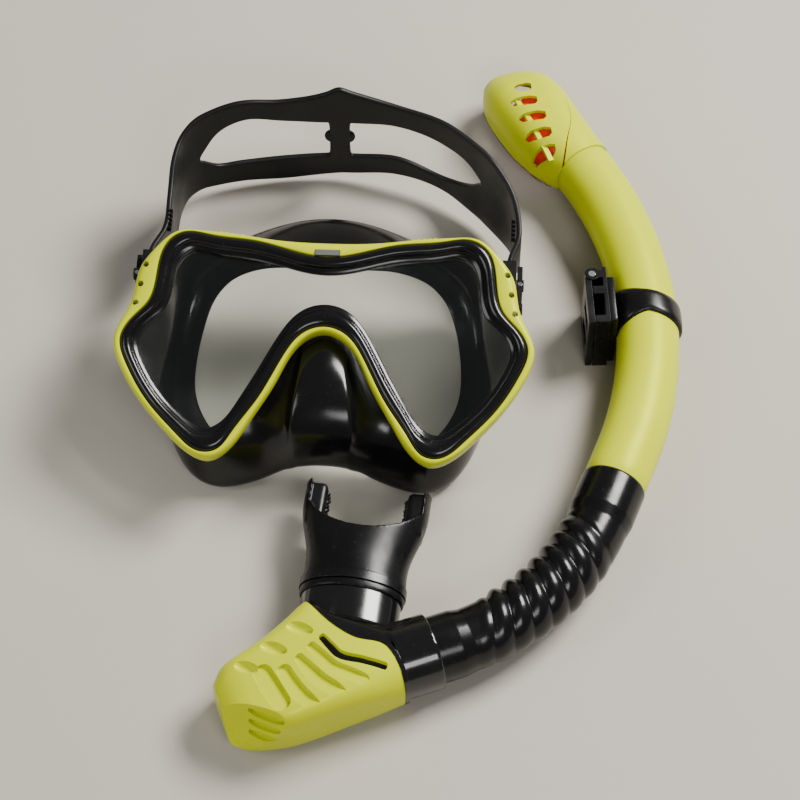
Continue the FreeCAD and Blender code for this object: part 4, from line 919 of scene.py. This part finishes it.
# ---------------------------------------------------------------- dry top
POD_SECTIONS = [
    # x, y0, y1, z0, z1, corner radius
    (0, -14.2, 14.4, 2.8, 31.2, 14),
    (10, -14.2, 19.0, 1.2, 32.4, 14.5),
    (25, -15.0, 21.2, 0.5, 33.2, 14.5),
    (38, -16.2, 21.0, 0.6, 33.0, 14.5),
    (48, -15.0, 20.0, 1.2, 31.6, 13.5),
    (56, -9.8, 17.4, 3.0, 27.6, 11.5),
    (62, -2.0, 13.0, 7.0, 21.5, 7),
]
GUARD_EDGE = [(70, -9), (58, -8.6), (47, -11.6), (36, -11.8), (26, -9), (16, -4), (9, 2.2),
              (0, 10), (-6, 16.5)]
GUARD_FLOOR = 12.0
VENT_SLOTS = [(43.5, 4.3, 8), (36.3, 8.4, 12.5), (26.8, 9.8, 12.5), (17.8, 12.4, 12), (9.4, 14.8, 10.5)]
VENT_WIDTH = 5.4
FLOAT_ENDS = (6.0, 40.0)
FLOAT_GAP = 3.6
GUARD_WALL = 1.3
GUARD_RIB = [(42, 9.2), (38, 10), (28.2, 11), (18.4, 12.4), (8, 13.8), (4, 14.4)]
RIB_HALF = 1.2
RIB_ROUND = 14.5
RIB_SHOULDER = 6.7
POD_WALL = 1.9
POD_DOME = 1.2
GUARD_LIFT = 0.45
FLAT_DOME = 1.0
CLEAR_LIFT = 0.6
CLEAR_WALL = 1.5
SPIGOT_BORE = 9.7


def softened(sections, spread):
    """Sections at every millimetre, with their corners along the length rounded off."""
    table = np.array(sections, float)
    x = np.arange(table[0, 0], table[-1, 0] + 1e-6)
    fine = np.column_stack([x] + [np.interp(x, table[:, 0], table[:, k]) for k in range(1, 6)])
    reach = int(3 * spread)
    weights = np.exp(-0.5 * (np.arange(-reach, reach + 1) / spread) ** 2)
    weights /= weights.sum()
    out = fine.copy()
    for k in range(1, 6):
        padded = np.concatenate([2 * fine[0, k] - fine[reach:0:-1, k], fine[:, k],
                                 2 * fine[-1, k] - fine[-2:-reach - 2:-1, k]])
        out[:, k] = np.convolve(padded, weights, "valid")
    return out


def hull(name, sections, place, dome, grow=0.0, start=None, spread=2.6):
    """A closed form through rounded sections, grown or shrunk all round, with a domed end."""
    rows = []
    for x, y0, y1, z0, z1, radius in softened(sections, spread):
        ring = rounded_rectangle(y0 - grow, y1 + grow, z0 - grow, z1 + grow, max(radius + grow, 1), 12)
        rows.append([(x, y, z) for y, z in ring])
    if start is not None:
        rows[0] = [(start, y, z) for _, y, z in rows[0]]
    last = np.array(rows[-1])
    middle = last.mean(0)
    for k in range(1, 7):
        angle = math.pi / 2 * k / 6.5
        ring = middle + (last - middle) * math.cos(angle)
        ring[:, 0] = last[0, 0] + (dome + grow) * math.sin(angle)
        rows.append([tuple(p) for p in ring])
    return skin(name, rows, place)


def make_dry_top():
    """The dry top's base, its slotted splash guard and the clear cover on its back."""
    edge = [tuple(p) for p in open_spline(GUARD_EDGE, 5)] + [(-6, 40), (80, 40), (80, -9)]
    base = hull("dry_top", POD_SECTIONS, POD, POD_DOME)
    combine(base, hull("inner", POD_SECTIONS, POD, POD_DOME, -POD_WALL, start=2.5), "DIFFERENCE")
    combine(base, rod("bore", SPIGOT_BORE, -2, 6, POD @ at(0, 0, AXIS), 48), "DIFFERENCE")
    combine(base, prism("guard_room", edge, GUARD_FLOOR, 60, POD), "DIFFERENCE")
    below = [(5.5, -40), (5.5, 40), (80, 40), (80, -40)]
    under = prism("under", below, -5, GUARD_FLOOR + 0.05, POD)
    combine(under, prism("side", edge, -8, 60, POD), "INTERSECT")
    combine(base, under, "DIFFERENCE")
    finish_piece(smooth(base, 40), "snorkel_upper", "top_yellow", "dry_top_base")

    guard = hull("splash_guard_shell", POD_SECTIONS, POD, POD_DOME, GUARD_LIFT, start=-0.5)
    combine(guard, hull("hollow", POD_SECTIONS, POD, POD_DOME, -GUARD_WALL, start=-3), "DIFFERENCE")
    inset = [(x, y + 0.25 + 0.06 * max(0, 14 - x)) for x, y in edge]
    combine(guard, prism("keep", inset, GUARD_FLOOR + 0.15, 60, POD), "INTERSECT")
    for x, y, length in VENT_SLOTS:
        outline = vent_outline(length, VENT_WIDTH)
        combine(guard, prism("vent", outline, AXIS + 2, 45, POD @ at(x, y) @ turn(-POD_ANGLE)),
                "DIFFERENCE")
    finish_piece(smooth(guard, 40), "snorkel_upper", "top_yellow", "splash_guard")
    make_guard_rib()

    pod_float = hull("float_block", POD_SECTIONS, POD, FLAT_DOME, -FLOAT_GAP)
    low, high = FLOAT_ENDS
    combine(pod_float, box("room", (low, -40, 5), (high, 40, 60), POD, bevel=1.2), "INTERSECT")
    finish_piece(smooth(pod_float, 40), "float", "float_orange", "valve_float")

    clear = hull("clear_back", POD_SECTIONS, POD, FLAT_DOME, CLEAR_LIFT)
    combine(clear, hull("room", POD_SECTIONS, POD, FLAT_DOME, -CLEAR_WALL, start=-2), "DIFFERENCE")
    keep = prism("keep", [(5.9, -40), (5.9, 40), (80, 40), (80, -40)], -5, GUARD_FLOOR - 0.1, POD)
    combine(keep, prism("side", [(x, y + 0.2) for x, y in edge], -8, 60, POD), "INTERSECT")
    combine(clear, keep, "INTERSECT")
    finish_piece(smooth(clear, 40), "snorkel_upper", "top_clear", "clear_back_cover")


def vent_outline(length, width):
    """A slot that is full at its middle and comes to blunt points at its ends."""
    half = length / 2
    return [(-half, -0.7), (-half * 0.72, -width * 0.42), (half * 0.1, -width * 0.5),
            (half * 0.8, -width * 0.4), (half, -0.6), (half * 0.92, width * 0.4),
            (half * 0.4, width / 2), (-half * 0.55, width * 0.34), (-half, 0.5)]


def make_guard_rib():
    """The rib that runs along the inside of the guard, seen through its slots."""
    path = open_spline(GUARD_RIB, 6)
    table = np.array(POD_SECTIONS)
    rows = []
    for k, (x, y) in enumerate(path):
        nx, ny = (part * RIB_HALF for part in across_path(path, k))
        drop = RIB_ROUND - math.sqrt(RIB_ROUND**2 - max(y - RIB_SHOULDER, 0) ** 2)
        top = float(np.interp(x, table[:, 0], table[:, 4])) - GUARD_WALL - drop
        rows.append([(x - nx, y - ny, top - 2.2), (x + nx, y + ny, top - 2.6),
                     (x + nx, y + ny, top - 0.4), (x - nx, y - ny, top)])
    rib = skin("guard_rib", rows, POD)
    finish_piece(smooth(rib, 35), "snorkel_upper", "top_yellow")


make_dry_top()

# ---------------------------------------------------------------- lower chamber and purge cover
COVER_SECTIONS = [
    # x, y0, y1, z0, z1, corner radius
    (15, -16.6, 16.6, 0.4, 33.6, 15.5),
    (30, -26.0, 16.8, 0.4, 34.0, 12),
    (43, -35.5, 16.8, 0.4, 34.0, 10),
    (54, -29.5, 17.2, 0.4, 33.0, 9),
    (66, -24.5, 17.0, 0.5, 31.5, 8),
    (72, -23.0, 16.2, 0.7, 30.6, 8),
    (80, -21.3, 14.6, 1.2, 29.2, 8),
    (85.5, -19.8, 12.6, 2.2, 26.8, 7.5),
    (90.5, -14.5, 8.5, 5.0, 22.5, 6.5),
]
TRIM_LINE = [(17, 30), (16.6, 5), (18.5, -1), (29, -8.5), (36, -18), (40, -27), (43, -40)]
TRIM_WIDTH = 2.0
FACET_POINT = (73.5, 8.5, 31.0)
FACET_TURN = 47.0
FACET_LEAN = 64.9
FACET = CHAMBER @ Matrix.Translation(FACET_POINT) @ turn(FACET_TURN) @ turn(FACET_LEAN, "Y")
PORT_ALONG = 21.0
PORT_OUT = -39.0
MOUTH_ANGLE = 82.2
MOUTH = (SNORKEL @ Matrix.Translation(chamber_start + polar(1, chamber_angle) * PORT_ALONG
                                      + polar(1, chamber_angle + 90) * PORT_OUT) @ turn(MOUTH_ANGLE))
# Sunken arrows on the cover's top, each a line of x, y and half width, and how deep they go.
CHEVRONS = [
    ([(48.6, -10.6, 1.6), (46.6, -5.0, 2.4), (44.0, 1.4, 2.9), (38.4, 6.6, 2.6), (33.4, 10.6, 2.0)], 1.9),
    ([(54.9, -7.6, 1.6), (53.0, -1.6, 2.5), (50.6, 4.6, 3.0), (46.2, 10.6, 2.7), (42.6, 14.8, 2.1)], 1.9),
    ([(62.4, -4.6, 2.6), (61.2, 1.8, 2.8), (59.4, 8.0, 3.0), (56.6, 12.8, 2.5), (54.6, 15.0, 2.0)], 1.8),
    ([(70.8, -7.0, 3.6), (69.6, 0.5, 3.9), (68.0, 8.0, 3.6)], 1.5),
]
THROUGH_SLOT = [(43.3, -13.0, 1.1), (41.6, -8.4, 1.35), (39.6, -3.6, 1.45), (31.6, 2.2, 1.3),
                (23.8, 7.7, 1.15)]
OVALS = [(76.5, -12.4, 6.0, 2.6), (63.6, -16.0, 6.4, 2.8), (51.0, -20.4, 6.4, 2.8)]
OVAL_TURN = -38.0
OVAL_RISE = 0.4
OVAL_DEPTH = 2.6
COVER_DOME = 0.6
COVER_WALL = 3.4
BEAD_PROUD = 0.25
BEAD_INSIDE = 1.9
SLEEVE_INSIDE = 2.4
END_VENTS = 3
VENT_FIRST = 4.6
VENT_STEP = 5.2
VENT_HALF = 8.5
# Ovals round the mouthpiece's neck: half width, half height, and where they start and end.
NECK = (20.9, 14.2, -21, -7.1)
COVER_NECK = (22.2, 15.4, -7.5, 12)
BEAD_NECK = (22.0, 15.2, -7.5, 12)


def trim_side(shift):
    """The far side of the cover's trim line, moved along the chamber."""
    line = [(float(x) + shift, float(y)) for x, y in open_spline(TRIM_LINE, 5)]
    return [(line[0][0], 60)] + line + [(line[-1][0], -60), (120, -60), (120, 60)]


def cover_top(x):
    """The height of the cover's top at a place along it."""
    table = np.array(COVER_SECTIONS)
    return float(np.interp(x, table[:, 0], table[:, 4]))


def groove(name, line, depth):
    """A cutter along a line on the cover's top, that goes a depth below the top."""
    path = open_spline(line, 5)
    # Both ends are round.
    first, last = path[0], path[-1]
    back = (first - path[1]) / np.linalg.norm((first - path[1])[:2])
    ahead = (last - path[-2]) / np.linalg.norm((last - path[-2])[:2])
    start, finish = [], []
    for angle in np.radians((80, 60, 40, 20)):
        for end, way, cap in ((first, back, start), (last, ahead, finish)):
            place = end + way * end[2] * math.sin(angle)
            cap.append((place[0], place[1], end[2] * math.cos(angle)))
    path = np.vstack([start, path, finish[::-1]])
    rows = []
    for k, (x, y, half) in enumerate(path):
        nx, ny = across_path(path, k)
        floor = cover_top(x) - depth
        lip = half + 0.5
        rows.append([
            (x - nx * half, y - ny * half, floor), (x + nx * half, y + ny * half, floor),
            (x + nx * lip, y + ny * lip, floor + depth), (x + nx * lip, y + ny * lip, 50),
            (x - nx * lip, y - ny * lip, 50), (x - nx * lip, y - ny * lip, floor + depth),
        ])
    return skin(name, rows, CHAMBER)


def neck_oval(half_width, half_height, x0, x1):
    """A straight oval block along the mouthpiece's neck."""
    rows = []
    for x in (x0, x1):
        rows.append([(x, half_width * math.cos(a), AXIS + half_height * math.sin(a))
                     for a in np.linspace(0, 2 * math.pi, 64, endpoint=False)])
    return skin("neck", rows, MOUTH)


def cover_form(name, grow):
    """The cover's outer form with its slanted end."""
    form = hull(name, COVER_SECTIONS, CHAMBER, COVER_DOME, grow, spread=2.0)
    beyond = box("beyond", (-100, -100, grow), (100, 100, 80), FACET)
    return combine(form, beyond, "DIFFERENCE")


def make_cover():
    cover = cover_form("purge_cover_shell", 0.0)
    combine(cover, cover_form("hollow", -COVER_WALL), "DIFFERENCE")
    combine(cover, neck_oval(*COVER_NECK), "DIFFERENCE")
    combine(cover, prism("keep", trim_side(TRIM_WIDTH), -5, 60, CHAMBER), "INTERSECT")
    for line, depth in CHEVRONS:
        combine(cover, groove("arrow", line, depth), "DIFFERENCE")
    combine(cover, groove("slot", THROUGH_SLOT, 8), "DIFFERENCE")
    for x, y, long_half, short_half in OVALS:
        stand = CHAMBER @ at(x, y, cover_top(x) + OVAL_RISE) @ turn(OVAL_TURN)
        combine(cover, ellipsoid("oval", (long_half, short_half, OVAL_DEPTH), stand), "DIFFERENCE")
    for k in range(END_VENTS):
        low = VENT_FIRST + VENT_STEP * k
        line = [(low + 0.8 * math.cos(t), VENT_HALF * math.sin(t) * (1 - 0.12 * k))
                for t in np.linspace(-1.2, 1.2, 9)]
        rows = []
        for j, (x, y) in enumerate(line):
            half = 0.6 + 1.0 * math.sin(math.pi * (j + 0.6) / 9.2)
            rows.append([(x - half, y, -2.2), (x + half, y, -2.2), (x + half, y, 4), (x - half, y, 4)])
        combine(cover, skin("vent", rows, FACET), "DIFFERENCE")
    finish_piece(smooth(cover, 38), "snorkel_lower", "cover_yellow", "purge_cover")

    bead = cover_form("cover_bead", BEAD_PROUD)
    combine(bead, cover_form("hollow", -BEAD_INSIDE), "DIFFERENCE")
    combine(bead, prism("keep", trim_side(0.0), -5, 60, CHAMBER), "INTERSECT")
    combine(bead, prism("cut", trim_side(TRIM_WIDTH - 0.03), -6, 62, CHAMBER), "DIFFERENCE")
    combine(bead, neck_oval(*BEAD_NECK), "DIFFERENCE")
    finish_piece(smooth(bead, 40), "snorkel_lower", "chamber_black", "cover_edge_seal")


def make_chamber():
    chamber = melt("lower_chamber", "chamber", 0.55, 10)
    sleeve = prism("sleeve", trim_side(TRIM_WIDTH), -6, 62, CHAMBER)
    combine(sleeve, cover_form("inside", -SLEEVE_INSIDE), "DIFFERENCE")
    combine(chamber, sleeve, "DIFFERENCE")
    combine(chamber, neck_oval(*NECK), "UNION")
    finish_piece(smooth(chamber, 45), "snorkel_lower", "chamber_black", "lower_chamber")


STUD_START = 29.0
STUD_PITCH = 4.2
STUD_FACE = 17.0
STUD_ROW = 3.0
STUD_RADII = (1.25, 1.3, 1.15)


def make_mouthpiece():
    """The melted form of the modelled mouthpiece, with round studs on its two bite tabs."""
    piece = melt("mouthpiece", "bite_mouthpiece", 0.5, 5)
    for side in (1, -1):
        for i in range(4):
            for j in range(3):
                height = AXIS + STUD_ROW * (j - 1)
                stand = MOUTH @ at(STUD_START + STUD_PITCH * i, side * STUD_FACE, height)
                join(piece, ellipsoid("stud", STUD_RADII, stand, rings=8, count=12))
    finish_piece(piece, "snorkel_lower", "mouth_silicone", "mouthpiece")


make_cover()
make_chamber()
make_mouthpiece()

# ---------------------------------------------------------------- floor, light and camera
FLOOR_COLOUR = (0.49, 0.455, 0.385)
FLOOR_HALF = 2.6
FLOOR_CURVE = [(-FLOOR_HALF, 0), (1.2, 0), (1.6, 0.06), (1.95, 0.3), (2.1, 0.75), (2.15, 1.6)]
VIEW_ANGLE = 57.0
VIEW_DISTANCE = 1.25
VIEW_LENS = 127.7
VIEW_TARGET = Vector((-0.0019, 0.0028, 0.0))


def make_floor():
    """A pale card that curves up behind the set."""
    mesh = bpy.data.meshes.new("floor")
    points = [(x, y, z) for y, z in FLOOR_CURVE for x in (-FLOOR_HALF, FLOOR_HALF)]
    faces = [(2 * k, 2 * k + 1, 2 * k + 3, 2 * k + 2) for k in range(len(FLOOR_CURVE) - 1)]
    mesh.from_pydata(points, [], faces)
    floor = bpy.data.objects.new("floor", mesh)
    bpy.context.scene.collection.objects.link(floor)
    floor.data.shade_smooth()
    material = bpy.data.materials.new("floor_card")
    material.use_nodes = True
    tree = material.node_tree
    shader = tree.nodes["Principled BSDF"]
    place = texture_place(tree)
    darker = tuple(c * 0.985 for c in FLOOR_COLOUR)
    link(tree, mix_colour(tree, ramp(tree, noise(tree, place, 9.0), 0, 1), FLOOR_COLOUR, darker),
         shader.inputs["Base Color"])
    shader.inputs["Roughness"].default_value = 0.62
    shader.inputs["Specular IOR Level"].default_value = 0.25
    floor.data.materials.append(material)


def soft_light(name, place, aim, size, power, colour):
    data = bpy.data.lights.new(name, "AREA")
    data.shape = "RECTANGLE"
    data.size, data.size_y = size
    data.energy = power
    data.color = colour
    lamp = bpy.data.objects.new(name, data)
    bpy.context.scene.collection.objects.link(lamp)
    lamp.location = place
    lamp.rotation_euler = (Vector(aim) - Vector(place)).to_track_quat("-Z", "Y").to_euler()


def make_light():
    soft_light("key", (1.0, 0.62, 1.3), (0.05, 0, 0), (0.75, 0.6), 62, (1.0, 0.985, 0.955))
    soft_light("fill", (-1.4, -0.5, 1.3), (0, 0, 0), (0.8, 1.0), 12, (0.97, 0.985, 1.0))
    soft_light("front", (0.5, -1.5, 1.5), (0, 0, 0), (0.9, 0.5), 14, (1, 1, 1))
    world = bpy.data.worlds.new("studio")
    world.use_nodes = True
    sky = world.node_tree.nodes["Background"].inputs
    sky["Color"].default_value = (0.95, 0.96, 1.0, 1)
    sky["Strength"].default_value = 0.16
    bpy.context.scene.world = world


def make_camera():
    data = bpy.data.cameras.new("camera")
    data.lens = VIEW_LENS
    data.clip_start = 0.05
    camera = bpy.data.objects.new("camera", data)
    bpy.context.scene.collection.objects.link(camera)
    angle = math.radians(VIEW_ANGLE)
    away = Vector((0, -math.cos(angle), math.sin(angle))) * VIEW_DISTANCE
    camera.location = VIEW_TARGET + away
    camera.rotation_euler = (-away).to_track_quat("-Z", "Y").to_euler()
    bpy.context.scene.camera = camera


make_floor()
make_light()
make_camera()
